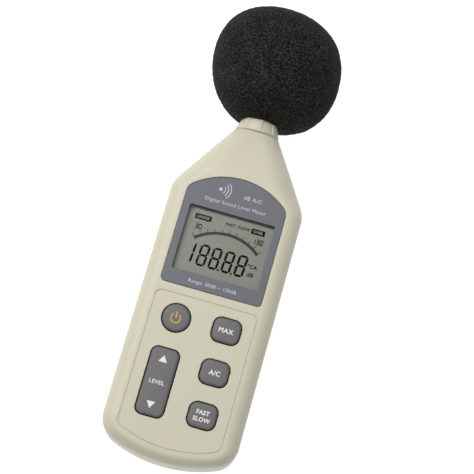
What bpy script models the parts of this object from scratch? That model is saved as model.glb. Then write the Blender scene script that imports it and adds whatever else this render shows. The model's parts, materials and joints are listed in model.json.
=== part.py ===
"""Handheld sound level meter with a foam windscreen, as separate solids.

Axes: +X across the face, +Y towards the microphone, +Z out of the display face.
Every place below is measured from the bottom end (Y), the middle (X) and the back (Z).
The empty "bench" then moves the origin to the resting point on the flat back.
All sizes are in metres.
"""

import math

import bmesh
import bpy
from mathutils import Vector

# Case, seen from the front
BODY_WIDTH = 0.070
BODY_DEPTH = 0.035
NECK_END_Y = 0.1797
NECK_HALF_WIDTH = 0.01215
NECK_HALF_DEPTH = 0.0108
CONE_ANGLE = math.radians(32.2)
BOTTOM_RADIUS = 0.073
CORNER_RADIUS = 0.0125
SHOULDER_RADIUS = 0.022
FRONT_EDGE_RADIUS = 0.0075
BACK_EDGE_RADIUS = 0.004
SHOULDER_ROUNDING = 0.5
NECK_ROUNDING = 0.9
DEPTH_CURVE = 1.4
WALL = 0.0022
GAP = 0.0003
CUT = 0.001
REST_Y = 0.085

# Display
PANEL_HALF_WIDTH = 0.0265
PANEL_BOTTOM_Y = 0.0872
PANEL_TOP_Y = 0.1496
PANEL_ARCH_RADIUS = 0.038
PANEL_SHOULDER_RADIUS = 0.0065
PANEL_CORNER_RADIUS = 0.0024
PANEL_RECESS = 0.0012
FACE_MARGIN = 0.0012
PANEL_THICKNESS = 0.0006
WINDOW_HALF_WIDTH = 0.0225
WINDOW_BOTTOM_Y = 0.0952
WINDOW_TOP_Y = 0.130
WINDOW_CORNER = 0.0008
WINDOW_MARGIN = 0.0014
LENS_THICKNESS = 0.001
LCD_THICKNESS = 0.0018
LCD_MARGIN = 0.0018
FRAME_WALL = 0.0024
FRAME_LIP = 0.0009
STRIP_WIDTH = 0.0024
SIGHT_MARGIN = 0.0008

# Keys: name, middle, width, length and corner radius of the opening
KEY_WIDTH = 0.0152
KEY_LENGTH = 0.0135
KEY_CORNER = 0.0045
KEY_COLUMN_X = 0.013
POWER_Y = 0.0706
MAX_Y = 0.071
WEIGHTING_Y = 0.049
RESPONSE_Y = 0.027
LEVEL_Y = 0.0372
LEVEL_LENGTH = 0.0355
LEVEL_CORNER = 0.004
KEY_CLEARANCE = 0.00035
KEY_PROUD = 0.0012
KEY_FLANGE = 0.001
KEY_FLANGE_THICKNESS = 0.0013
KEY_EDGE = 0.0006
KEY_STEM_RADIUS = 0.002
KEY_GAP_TO_SWITCH = 0.0011
EAR_HALF_LENGTH = 0.005
EAR_CLEARANCE = 0.0006
LEVEL_SWITCH_OFFSET = 0.012

# Electronics
BOARD_DROP = 0.0104
BOARD_THICKNESS = 0.0016
BOARD_BOTTOM_Y = 0.0135
BOARD_NARROW = BODY_WIDTH / 2 - 0.011
BOARD_WIDE = BODY_WIDTH / 2 - 0.0082
BOARD_WIDENS_Y = PANEL_BOTTOM_Y + 0.001
BOARD_NARROWS_Y = 0.1345
BOARD_HEAD_HALF_WIDTH = BODY_WIDTH / 2 - 0.0162
BOARD_HEAD_Y = 0.1385
BOARD_TAPERS_Y = 0.150
BOARD_TIP_HALF_WIDTH = 0.012
BOARD_TOP_Y = 0.158
MAIN_CHIP_Y = 0.118
MAIN_CHIP_SIZE = 0.014
AMPLIFIER_CHIP_Y = 0.1525
AMPLIFIER_CHIP_SIZE = 0.0055
CHIP_HEIGHT = 0.0016
SWITCH_SIZE = 0.006
SWITCH_HEIGHT = 0.0035
ACTUATOR_RADIUS = 0.0017
ACTUATOR_HEIGHT = 0.0008
SIDE_PORT_Z = 0.0125
DC_JACK_Y = 0.104
DC_JACK_HALF = 0.0045
DC_JACK_BORE = 0.0029
DC_PORT_RADIUS = 0.0034
DC_PIN_RADIUS = 0.001
PIN_DROP = 0.002
OUTPUT_JACK_Y = 0.116
OUTPUT_JACK_HALF = 0.0036
OUTPUT_JACK_BORE = 0.0018
OUTPUT_PORT_RADIUS = 0.003
JACK_FLOOR = 0.0015
TRIMMER_Y = 0.1265
TRIMMER_HALF = 0.0035
TRIMMER_PORT_RADIUS = 0.0019
TRIMMER_SCREW_RADIUS = 0.0016
TRIMMER_SCREW_LENGTH = 0.0032
TRIMMER_SLOT_HALF = 0.0003
TRIMMER_SLOT_DEPTH = 0.0007
JACK_BOARD_X = 0.0146 - BODY_WIDTH / 2
JACK_BOARD_LOW_Z = 0.005

# Screws
SCREW_RADIUS = 0.0015
SCREW_HEAD_RADIUS = 0.0028
SCREW_HEAD_HEIGHT = 0.002
SCREW_SEAT_Z = 0.006
FRONT_POST_RADIUS = 0.003
REAR_POST_RADIUS = 0.0042
LOWER_SCREW_X = BODY_WIDTH / 2 - 0.0074
LOWER_SCREW_Y = 0.082
UPPER_SCREW_X = BODY_WIDTH / 2 - 0.0125
UPPER_SCREW_Y = 0.1425
CASE_SCREWS = (
    (-LOWER_SCREW_X, LOWER_SCREW_Y),
    (LOWER_SCREW_X, LOWER_SCREW_Y),
    (-UPPER_SCREW_X, UPPER_SCREW_Y),
    (UPPER_SCREW_X, UPPER_SCREW_Y),
)
BOARD_SCREW_RADIUS = 0.001
BOARD_POST_RADIUS = 0.0025
BOARD_HEAD_RADIUS = 0.0021
BOARD_HEAD_HEIGHT = 0.0014
BOARD_SCREW_LENGTH = 0.006
CROSS_HALF_LENGTH = 0.55
CROSS_HALF_WIDTH = 0.12
BOARD_SCREWS = ((0.0, 0.022), (0.0, 0.062), (-0.01, 0.148), (0.01, 0.148))

# Batteries and their door
CELL_RADIUS = 0.00725
CELL_LENGTH = 0.0505
CELL_PITCH = 2 * CELL_RADIUS + 0.0002
CELL_SHOULDER = 0.001
NUB_RADIUS = 0.00275
NUB_LENGTH = 0.0013
CONTACT_THICKNESS = 0.0005
CONTACT_HALF = 0.0055
SPRING_RADIUS = 0.0028
SPRING_WIRE = 0.0004
SPRING_TURNS = 3.5
SPRING_LENGTH = 0.0058
BAY_BOTTOM_Y = 0.0142
BAY_WALL = 0.0015
DOOR_THICKNESS = 0.00165
CELL_Z = DOOR_THICKNESS + CELL_RADIUS + 0.00115
BAY_CEILING_Z = CELL_Z + CELL_RADIUS + 0.0006
DOOR_LEDGE = 0.0009
DOOR_END_LEDGE = 0.0013
DOOR_LATCH_LEDGE = 0.0025
DOOR_CORNER = 0.003
GRIP_GROOVES = 4
GRIP_START = 0.004
GRIP_PITCH = 0.0022
GRIP_WIDTH = 0.016
GRIP_LENGTH = 0.001
GRIP_DEPTH = 0.0005

# Tripod socket
TRIPOD_Y = 0.100
TRIPOD_BORE_RADIUS = 0.0031
TRIPOD_BORE_DEPTH = 0.009
INSERT_RADIUS = 0.0045
INSERT_LENGTH = 0.010
BOSS_WALL = 0.002

# Microphone and windscreen
MIC_RADIUS = 0.00635
MIC_WALL = 0.0011
MIC_TUBE_START_Y = NECK_END_Y - 0.0045
MIC_TUBE_END_Y = NECK_END_Y + 0.025
CAPSULE_LENGTH = 0.006
GRID_LENGTH = 0.004
GRID_HOLE_RADIUS = 0.001
GRID_MIDDLE_RADIUS = 0.0011
GRID_HOLES = 6
GRID_HOLE_CIRCLE = 0.0035
GRID_BEVEL = 0.0006
COLLAR_TOP_RADIUS = 0.0097
COLLAR_ROUND_Y = NECK_END_Y + 0.0065
COLLAR_ROUND_RADIUS = 0.0101
COLLAR_END_Y = NECK_END_Y + 0.011
SPIGOT_LENGTH = 0.0055
SPIGOT_WALL = 0.001
FOAM_HALF_WIDTH = 0.0354
FOAM_HALF_LENGTH = 0.0336
FOAM_CENTRE_Y = NECK_END_Y + 0.039
FOAM_SQUARENESS = 2.15
FOAM_BORE_SPARE = 0.003
FOAM_TIP_RADIUS = 0.0008

MID_Z = BODY_DEPTH / 2
FRONT_INSIDE_Z = BODY_DEPTH - WALL
FACE_END_Y = PANEL_TOP_Y + FACE_MARGIN
ROUNDING_START_Y = PANEL_TOP_Y - 0.0136
ACROSS_END_Y = PANEL_TOP_Y + 0.0044
UP_END_Y = PANEL_TOP_Y + 0.0004
# Stations that a longer neck needs on the straight side, and how far they keep from the shoulder
PANEL_SHOULDER_Y = (ROUNDING_START_Y + UP_END_Y) / 2
STATION_GAP = 0.002
BOARD_Z = FRONT_INSIDE_Z - BOARD_DROP
BOARD_TOP_Z = BOARD_Z + BOARD_THICKNESS
BAY_HALF_WIDTH = 1.5 * CELL_PITCH + CELL_RADIUS + GAP
BAY_LENGTH = CELL_LENGTH + SPRING_LENGTH + 2 * CONTACT_THICKNESS + 5 * GAP
BAY_TOP_Y = BAY_BOTTOM_Y + BAY_LENGTH


def clear_scene():
    for thing in list(bpy.data.objects):
        bpy.data.objects.remove(thing)


def material(name, colour, roughness, metallic=0.0):
    made = bpy.data.materials.new(name)
    made.use_nodes = True
    shader = made.node_tree.nodes["Principled BSDF"]
    shader.inputs["Base Color"].default_value = (*colour, 1.0)
    shader.inputs["Roughness"].default_value = roughness
    shader.inputs["Metallic"].default_value = metallic
    made.diffuse_color = (*colour, 1.0)
    return made


def steps(start, end, count):
    return [start + (end - start) * index / count for index in range(count + 1)]


def blend(low, high, share):
    return low + (high - low) * share


def rectangle(x_low, x_high, y_low, y_high):
    return [(x_low, y_low), (x_high, y_low), (x_high, y_high), (x_low, y_high)]


def rounded(middle, width, length, radius, count=4):
    """A rectangle with round corners, anticlockwise."""
    points = []
    for turn in range(4):
        side_x = 1 if turn in (0, 3) else -1
        side_y = 1 if turn in (0, 1) else -1
        centre_x = middle[0] + side_x * (width / 2 - radius)
        centre_y = middle[1] + side_y * (length / 2 - radius)
        for angle in steps(turn * math.pi / 2, (turn + 1) * math.pi / 2, count):
            points.append((centre_x + radius * math.cos(angle), centre_y + radius * math.sin(angle)))
    return points


def circle(middle, radius, count=28):
    angles = [2 * math.pi * index / count for index in range(count)]
    return [(middle[0] + radius * math.cos(a), middle[1] + radius * math.sin(a)) for a in angles]


def prism(shape, points, low, high):
    """A block with the given outline, from height low to height high."""
    bottom = [shape.verts.new((x, y, low)) for x, y in points]
    top = [shape.verts.new((x, y, high)) for x, y in points]
    shape.faces.new(bottom[::-1])
    shape.faces.new(top)
    for index in range(len(points)):
        after = (index + 1) % len(points)
        shape.faces.new((bottom[index], bottom[after], top[after], top[index]))


def loft(shape, rings, looped=False):
    """Skin over rings with equal numbers of points; the ends are capped unless the rings loop."""
    made = [[shape.verts.new(point) for point in ring] for ring in rings]
    pairs = list(zip(made, made[1:]))
    if looped:
        pairs.append((made[-1], made[0]))
    else:
        shape.faces.new(made[0][::-1])
        shape.faces.new(made[-1])
    for low, high in pairs:
        for index in range(len(low)):
            after = (index + 1) % len(low)
            shape.faces.new((low[index], low[after], high[after], high[index]))


def rod(shape, start, end, radius, count=14):
    """A cylinder between two points."""
    start, end = Vector(start), Vector(end)
    turn = (end - start).to_track_quat("Z", "Y")
    flat = [turn @ Vector((x, y, 0.0)) for x, y in circle((0.0, 0.0), radius, count)]
    loft(shape, [[start + point for point in flat], [end + point for point in flat]])


def turned(shape, profile, x=0.0, z=MID_Z, looped=False, count=24):
    """Rings about an axis along Y: profile lists (y, radius across, radius in depth)."""
    rings = []
    for y, across, deep in profile:
        rings.append([(x + across * a, y, z + deep * b) for a, b in circle((0.0, 0.0), 1.0, count)])
    loft(shape, rings, looped)


class Maker:
    """Puts finished shapes into the scene, on the bench."""

    def __init__(self):
        self.bench = bpy.data.objects.new("bench", None)
        bpy.context.scene.collection.objects.link(self.bench)
        self.bench.location = (0.0, -REST_Y, 0.0)

    def put(self, name, data, finish=None):
        made = bpy.data.objects.new(name, data)
        bpy.context.scene.collection.objects.link(made)
        made.parent = self.bench
        if finish:
            made.data.materials.append(finish)
        else:
            made.hide_render = True
            made.display_type = "WIRE"
        return made

    def solid(self, name, shape, finish=None):
        """An object from a bmesh; without a finish it is a hidden cutter."""
        bmesh.ops.remove_doubles(shape, verts=shape.verts, dist=1e-7)
        bmesh.ops.recalc_face_normals(shape, faces=shape.faces)
        mesh = bpy.data.meshes.new(name)
        shape.to_mesh(mesh)
        shape.free()
        return self.put(name, mesh, finish)


def change(target, other, operation):
    """Adds a Boolean, DIFFERENCE or UNION, of another object to the target."""
    modifier = target.modifiers.new(other.name, "BOOLEAN")
    modifier.operation = operation
    modifier.solver = "EXACT"
    modifier.object = other


def outline(inset, past_neck):
    """Right half of the case seen from the front, bottom centre to neck.

    Each station is a point and the direction in which the edge rounding runs in from it.
    """
    half = BODY_WIDTH / 2
    corner_x = half - CORNER_RADIUS
    corner_y = BOTTOM_RADIUS - math.sqrt((BOTTOM_RADIUS - CORNER_RADIUS) ** 2 - corner_x**2)
    meeting = math.atan2(corner_x, BOTTOM_RADIUS - corner_y)
    stations = []
    for angle in steps(0.0, meeting, 5)[:-1]:
        out = Vector((math.sin(angle), -math.cos(angle)))
        stations.append((Vector((0.0, BOTTOM_RADIUS)) + out * (BOTTOM_RADIUS - inset), -out))
    for angle in steps(meeting, math.pi / 2, 6):
        out = Vector((math.sin(angle), -math.cos(angle)))
        stations.append((Vector((corner_x, corner_y)) + out * (CORNER_RADIUS - inset), -out))
    level = Vector((-1.0, 0.0))
    cone_length = (half - NECK_HALF_WIDTH) / math.tan(CONE_ANGLE)
    shoulder_y = NECK_END_Y - cone_length - SHOULDER_RADIUS * math.tan(CONE_ANGLE / 2)
    for y in (ROUNDING_START_Y, PANEL_SHOULDER_Y, UP_END_Y, FACE_END_Y):
        if y < shoulder_y - STATION_GAP:
            stations.append((Vector((half - inset, y)), level))
    for angle in steps(0.0, CONE_ANGLE, 4):
        out = Vector((math.cos(angle), math.sin(angle)))
        middle = Vector((half - SHOULDER_RADIUS, shoulder_y))
        stations.append((middle + out * (SHOULDER_RADIUS - inset), level))
    end_x = NECK_HALF_WIDTH - inset / math.cos(CONE_ANGLE) - past_neck * math.tan(CONE_ANGLE)
    end = Vector((end_x, NECK_END_Y + past_neck))
    start = stations[-1][0]
    shares = steps(0.0, 1.0, 6)[1:]
    face_end = (FACE_END_Y - start.y) / (end.y - start.y)
    if 0.02 < face_end < 0.98 * shares[0]:
        shares.append(face_end)
    stations += [(start.lerp(end, share), level) for share in sorted(shares)]
    return stations


def eased(start, end, y):
    """0 up to start, rising smoothly to 1 at end."""
    share = min(1.0, max(0.0, (y - start) / (end - start)))
    return share * share * (3 - 2 * share)


def cone_share(y):
    """0 on the body, rising to 1 at the end of the neck."""
    return min(1.0, max(0.0, (y - FACE_END_Y) / (NECK_END_Y - FACE_END_Y)))


def case_half(shape, side, inset, start, past_neck=0.0):
    """Half of the case as a solid. side is 1 for the front and -1 for the rear.

    Rows run across the case, up one side, over its rounded edge and down the other side.
    """
    edge = (FRONT_EDGE_RADIUS if side > 0 else BACK_EDGE_RADIUS) - inset
    rows = []
    for point, inward in outline(inset, past_neck):
        share = cone_share(point.y)
        depth = blend(BODY_DEPTH / 2, NECK_HALF_DEPTH, share**DEPTH_CURVE) - inset
        if side > 0:
            widest = point.x * blend(SHOULDER_ROUNDING, NECK_ROUNDING, share**2)
            across = blend(edge, widest, eased(ROUNDING_START_Y, ACROSS_END_Y, point.y))
            up = blend(edge, NECK_ROUNDING * depth, eased(ROUNDING_START_Y, UP_END_Y, point.y))
        else:
            across = blend(edge, NECK_ROUNDING * point.x, share)
            up = blend(edge, NECK_ROUNDING * depth, share)
        row = [(point.x, point.y, MID_Z + side * start)]
        for angle in steps(0.0, math.pi / 2, 5):
            place = point + inward * across * (1 - math.cos(angle))
            height = depth - up * (1 - math.sin(angle))
            row.append((place.x, place.y, MID_Z + side * height))
        row += [(-x, y, z) for x, y, z in row[::-1]]
        rows.append([shape.verts.new(corner) for corner in row])
    shape.faces.new(rows[-1])
    for low, high in zip(rows, rows[1:]):
        for index in range(len(low)):
            after = (index + 1) % len(low)
            shape.faces.new((low[index], low[after], high[after], high[index]))
    bmesh.ops.remove_doubles(shape, verts=shape.verts, dist=1e-6)


def panel_outline(inset):
    """The display panel: straight sides, small lower corners and an arched top."""
    half = PANEL_HALF_WIDTH - inset
    low = PANEL_CORNER_RADIUS - inset
    high = PANEL_SHOULDER_RADIUS - inset
    arch = PANEL_ARCH_RADIUS - inset
    arch_y = PANEL_TOP_Y - PANEL_ARCH_RADIUS
    shoulder_x = PANEL_HALF_WIDTH - PANEL_SHOULDER_RADIUS
    shoulder_y = arch_y + math.sqrt((PANEL_ARCH_RADIUS - PANEL_SHOULDER_RADIUS) ** 2 - shoulder_x**2)
    meeting = math.atan2(shoulder_y - arch_y, shoulder_x)
    corner_y = PANEL_BOTTOM_Y + PANEL_CORNER_RADIUS
    right = []
    for angle in steps(-math.pi / 2, 0.0, 4):
        right.append((half - low + low * math.cos(angle), corner_y + low * math.sin(angle)))
    for angle in steps(0.0, meeting, 5):
        right.append((shoulder_x + high * math.cos(angle), shoulder_y + high * math.sin(angle)))
    for angle in steps(meeting, math.pi / 2, 7)[1:]:
        right.append((arch * math.cos(angle), arch_y + arch * math.sin(angle)))
    return right + [(-x, y) for x, y in right[-2::-1]]


def window_outline(grow, corner):
    middle = (0.0, (WINDOW_BOTTOM_Y + WINDOW_TOP_Y) / 2)
    width = 2 * (WINDOW_HALF_WIDTH + grow)
    return rounded(middle, width, WINDOW_TOP_Y - WINDOW_BOTTOM_Y + 2 * grow, corner, 3)


def key_outline(name, grow):
    """Outline of a key's opening, made larger by grow."""
    if name == "power_key":
        return circle((-KEY_COLUMN_X, POWER_Y), KEY_WIDTH / 2 + grow)
    if name == "level_key":
        middle, length, corner = (-KEY_COLUMN_X, LEVEL_Y), LEVEL_LENGTH, LEVEL_CORNER
    else:
        y = {"max_key": MAX_Y, "weighting_key": WEIGHTING_Y, "response_key": RESPONSE_Y}[name]
        middle, length, corner = (KEY_COLUMN_X, y), KEY_LENGTH, KEY_CORNER
    return rounded(middle, KEY_WIDTH + 2 * grow, length + 2 * grow, corner + grow)


KEYS = ("power_key", "max_key", "weighting_key", "response_key", "level_key")
PUSHED_AT = {
    "power_key": [(-KEY_COLUMN_X, POWER_Y)],
    "max_key": [(KEY_COLUMN_X, MAX_Y)],
    "weighting_key": [(KEY_COLUMN_X, WEIGHTING_Y)],
    "response_key": [(KEY_COLUMN_X, RESPONSE_Y)],
    "level_key": [
        (-KEY_COLUMN_X, LEVEL_Y + LEVEL_SWITCH_OFFSET),
        (-KEY_COLUMN_X, LEVEL_Y - LEVEL_SWITCH_OFFSET),
    ],
}


def make_front_case(maker, finish):
    shell = bmesh.new()
    case_half(shell, 1, 0.0, GAP / 2)
    case = maker.solid("front_case", shell, finish)

    core = bmesh.new()
    case_half(core, 1, WALL, -CUT, 3 * CUT)
    change(case, maker.solid("front_core", core), "DIFFERENCE")

    posts, holes = bmesh.new(), bmesh.new()
    top = FRONT_INSIDE_Z + 0.2 * WALL
    for x, y in CASE_SCREWS:
        rod(posts, (x, y, MID_Z + GAP), (x, y, top), FRONT_POST_RADIUS)
        rod(holes, (x, y, MID_Z - CUT), (x, y, FRONT_INSIDE_Z - 2 * WALL), SCREW_RADIUS + GAP)
    for x, y in BOARD_SCREWS:
        rod(posts, (x, y, BOARD_TOP_Z + GAP), (x, y, top), BOARD_POST_RADIUS)
        rod(holes, (x, y, BOARD_TOP_Z - CUT), (x, y, FRONT_INSIDE_Z - WALL), BOARD_SCREW_RADIUS + GAP)
    change(case, maker.solid("front_posts", posts), "UNION")
    change(case, maker.solid("front_screw_holes", holes), "DIFFERENCE")

    recess = bmesh.new()
    prism(recess, panel_outline(0.0), BODY_DEPTH - PANEL_RECESS, BODY_DEPTH + CUT)
    change(case, maker.solid("panel_recess", recess), "DIFFERENCE")

    openings = bmesh.new()
    prism(openings, window_outline(WINDOW_MARGIN, CUT), FRONT_INSIDE_Z - CUT, BODY_DEPTH + CUT)
    for name in KEYS:
        prism(openings, key_outline(name, 0.0), FRONT_INSIDE_Z - CUT, BODY_DEPTH + CUT)
    change(case, maker.solid("face_openings", openings), "DIFFERENCE")


def door_outline(inset):
    low = BAY_BOTTOM_Y - DOOR_END_LEDGE + inset
    high = BAY_TOP_Y + DOOR_LATCH_LEDGE - inset
    width = 2 * (BAY_HALF_WIDTH + DOOR_LEDGE - inset)
    return rounded((0.0, (low + high) / 2), width, high - low, DOOR_CORNER - inset)


def make_rear_case(maker, finish):
    shell = bmesh.new()
    case_half(shell, -1, 0.0, GAP / 2)
    case = maker.solid("rear_case", shell, finish)

    core = bmesh.new()
    case_half(core, -1, WALL, -CUT, 3 * CUT)
    core = maker.solid("rear_core", core)
    block = bmesh.new()
    side = BAY_HALF_WIDTH + BAY_WALL
    low, high = BAY_BOTTOM_Y - BAY_WALL, BAY_TOP_Y + DOOR_LATCH_LEDGE + BAY_WALL / 2
    prism(block, rectangle(-side, side, low, high), -CUT, BAY_CEILING_Z + BAY_WALL)
    change(core, maker.solid("battery_block", block), "DIFFERENCE")
    change(case, core, "DIFFERENCE")

    posts, holes, seats = bmesh.new(), bmesh.new(), bmesh.new()
    for x, y in CASE_SCREWS:
        rod(posts, (x, y, WALL / 2), (x, y, MID_Z - 2 * GAP), REAR_POST_RADIUS)
        rod(holes, (x, y, -CUT), (x, y, MID_Z + CUT), SCREW_RADIUS + GAP)
        rod(seats, (x, y, -CUT), (x, y, SCREW_SEAT_Z), SCREW_HEAD_RADIUS + 1.5 * GAP)
    socket_depth = GAP + INSERT_LENGTH + GAP
    boss_radius = INSERT_RADIUS + GAP + BOSS_WALL
    rod(posts, (0, TRIPOD_Y, WALL / 2), (0, TRIPOD_Y, socket_depth + BOSS_WALL), boss_radius)
    rod(seats, (0, TRIPOD_Y, -CUT), (0, TRIPOD_Y, socket_depth), INSERT_RADIUS + GAP)
    outside, inside = -BODY_WIDTH / 2 - CUT, -BODY_WIDTH / 2 + WALL + CUT
    for y, radius in (
        (DC_JACK_Y, DC_PORT_RADIUS),
        (OUTPUT_JACK_Y, OUTPUT_PORT_RADIUS),
        (TRIMMER_Y, TRIMMER_PORT_RADIUS),
    ):
        rod(seats, (outside, y, SIDE_PORT_Z), (inside, y, SIDE_PORT_Z), radius)
    change(case, maker.solid("rear_posts", posts), "UNION")
    change(case, maker.solid("rear_screw_holes", holes), "DIFFERENCE")
    change(case, maker.solid("rear_seats", seats), "DIFFERENCE")

    bay, recess = bmesh.new(), bmesh.new()
    room = rectangle(-BAY_HALF_WIDTH, BAY_HALF_WIDTH, BAY_BOTTOM_Y, BAY_TOP_Y)
    prism(bay, room, -CUT, BAY_CEILING_Z)
    prism(recess, door_outline(0.0), -2 * CUT, DOOR_THICKNESS + GAP)
    change(case, maker.solid("battery_bay", bay), "DIFFERENCE")
    change(case, maker.solid("door_recess", recess), "DIFFERENCE")


def make_battery_door(maker, finish):
    plate = bmesh.new()
    prism(plate, door_outline(GAP), 0.0, DOOR_THICKNESS)
    door = maker.solid("battery_door", plate, finish)
    grip = bmesh.new()
    for index in range(GRIP_GROOVES):
        y = BAY_TOP_Y - GRIP_START - GRIP_PITCH * index
        prism(grip, rounded((0.0, y), GRIP_WIDTH, GRIP_LENGTH, 0.4 * GRIP_LENGTH, 2), -CUT, GRIP_DEPTH)
    change(door, maker.solid("door_grip", grip), "DIFFERENCE")


def make_keys(maker, finish):
    flange_top = FRONT_INSIDE_Z - GAP
    flange_low = flange_top - KEY_FLANGE_THICKNESS
    stem_low = BOARD_TOP_Z + GAP + SWITCH_HEIGHT + ACTUATOR_HEIGHT + KEY_GAP_TO_SWITCH
    top = BODY_DEPTH + KEY_PROUD
    for name in KEYS:
        cap = bmesh.new()
        levels = [(flange_low, 0.0), (top - KEY_EDGE, 0.0)]
        levels += [(top - 0.3 * KEY_EDGE, 0.3 * KEY_EDGE), (top, KEY_EDGE)]
        rings = []
        for height, inset in levels:
            rings.append([(x, y, height) for x, y in key_outline(name, -KEY_CLEARANCE - inset)])
        loft(cap, rings)
        key = maker.solid(name, cap, finish)
        lower = bmesh.new()
        if name == "level_key":
            ear = KEY_WIDTH / 2 + KEY_FLANGE
            low_y, high_y = LEVEL_Y - EAR_HALF_LENGTH, LEVEL_Y + EAR_HALF_LENGTH
            ears = rectangle(-KEY_COLUMN_X - ear, -KEY_COLUMN_X + ear, low_y, high_y)
            prism(lower, ears, flange_low + GAP / 2, FRONT_INSIDE_Z - EAR_CLEARANCE)
        else:
            prism(lower, key_outline(name, KEY_FLANGE), flange_low + GAP / 2, flange_top)
        stems = bmesh.new()
        for x, y in PUSHED_AT[name]:
            rod(stems, (x, y, stem_low), (x, y, flange_low + CUT), KEY_STEM_RADIUS)
        change(key, maker.solid(name + "_flange", lower), "UNION")
        change(key, maker.solid(name + "_stem", stems), "UNION")


def make_display(maker, finishes):
    panel_low = BODY_DEPTH - PANEL_RECESS + GAP
    panel = bmesh.new()
    prism(panel, panel_outline(GAP), panel_low, panel_low + PANEL_THICKNESS)
    panel = maker.solid("display_panel", panel, finishes["slate"])
    window = bmesh.new()
    prism(window, window_outline(0.0, WINDOW_CORNER), panel_low - CUT, BODY_DEPTH + CUT)
    change(panel, maker.solid("panel_window", window), "DIFFERENCE")

    lens_high = BODY_DEPTH - PANEL_RECESS - GAP
    lens = bmesh.new()
    outline_of_lens = window_outline(WINDOW_MARGIN - GAP, CUT - GAP)
    prism(lens, outline_of_lens, lens_high - LENS_THICKNESS, lens_high)
    maker.solid("window_lens", lens, finishes["clear"])

    frame_high = lens_high - LENS_THICKNESS - GAP
    glass_high = frame_high - FRAME_LIP - GAP
    glass_low = glass_high - LCD_THICKNESS
    glass = bmesh.new()
    prism(glass, window_outline(LCD_MARGIN + STRIP_WIDTH / 2, CUT), glass_low, glass_high)
    maker.solid("lcd_glass", glass, finishes["lcd"])

    margin = LCD_MARGIN + STRIP_WIDTH / 2 + GAP
    body = bmesh.new()
    prism(body, window_outline(margin + FRAME_WALL - GAP, CUT), BOARD_TOP_Z + GAP, frame_high)
    frame = maker.solid("lcd_frame", body, finishes["white"])
    hollow = bmesh.new()
    prism(hollow, window_outline(margin, CUT), BOARD_Z, glass_high + GAP)
    change(frame, maker.solid("lcd_seat", hollow), "DIFFERENCE")
    sight = bmesh.new()
    prism(sight, window_outline(SIGHT_MARGIN, CUT), BOARD_Z, frame_high + CUT)
    change(frame, maker.solid("lcd_sight", sight), "DIFFERENCE")

    half = STRIP_WIDTH / 2
    for name, middle in (
        ("elastomer_strip_lower", WINDOW_BOTTOM_Y - LCD_MARGIN + GAP),
        ("elastomer_strip_upper", WINDOW_TOP_Y + LCD_MARGIN - GAP),
    ):
        strip = bmesh.new()
        spot = rectangle(-WINDOW_HALF_WIDTH, WINDOW_HALF_WIDTH, middle - half, middle + half)
        prism(strip, spot, BOARD_TOP_Z + GAP, glass_low - GAP)
        maker.solid(name, strip, finishes["rubber"])


def make_main_board(maker, finishes):
    right = [
        (BOARD_NARROW, BOARD_BOTTOM_Y),
        (BOARD_NARROW, BOARD_WIDENS_Y),
        (BOARD_WIDE, BOARD_WIDENS_Y + 2 * CUT),
        (BOARD_WIDE, BOARD_NARROWS_Y),
        (BOARD_HEAD_HALF_WIDTH, BOARD_HEAD_Y),
        (BOARD_HEAD_HALF_WIDTH, BOARD_TAPERS_Y),
        (BOARD_TIP_HALF_WIDTH, BOARD_TOP_Y),
    ]
    plate = bmesh.new()
    prism(plate, right + [(-x, y) for x, y in right[::-1]], BOARD_Z, BOARD_TOP_Z)
    board = maker.solid("main_board", plate, finishes["board"])
    holes = bmesh.new()
    for x, y in BOARD_SCREWS:
        rod(holes, (x, y, BOARD_Z - CUT), (x, y, BOARD_TOP_Z + CUT), BOARD_SCREW_RADIUS + GAP)
    change(board, maker.solid("board_holes", holes), "DIFFERENCE")

    for name in KEYS:
        for index, (x, y) in enumerate(PUSHED_AT[name]):
            ends = ("_up", "_down")[index] if name == "level_key" else ""
            half = SWITCH_SIZE / 2
            body = bmesh.new()
            low = BOARD_TOP_Z + GAP
            prism(body, rectangle(x - half, x + half, y - half, y + half), low, low + SWITCH_HEIGHT)
            switch = maker.solid(name[:-4] + "_switch" + ends, body, finishes["dark"])
            nub = bmesh.new()
            top = low + SWITCH_HEIGHT
            rod(nub, (x, y, top - CUT), (x, y, top + ACTUATOR_HEIGHT), ACTUATOR_RADIUS, 16)
            change(switch, maker.solid(switch.name + "_nub", nub), "UNION")

    for name, y, size, low in (
        ("main_chip", MAIN_CHIP_Y, MAIN_CHIP_SIZE, BOARD_Z - GAP - CHIP_HEIGHT),
        ("amplifier_chip", AMPLIFIER_CHIP_Y, AMPLIFIER_CHIP_SIZE, BOARD_TOP_Z + GAP),
    ):
        chip = bmesh.new()
        prism(chip, rectangle(-size / 2, size / 2, y - size / 2, y + size / 2), low, low + CHIP_HEIGHT)
        maker.solid(name, chip, finishes["dark"])


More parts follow.
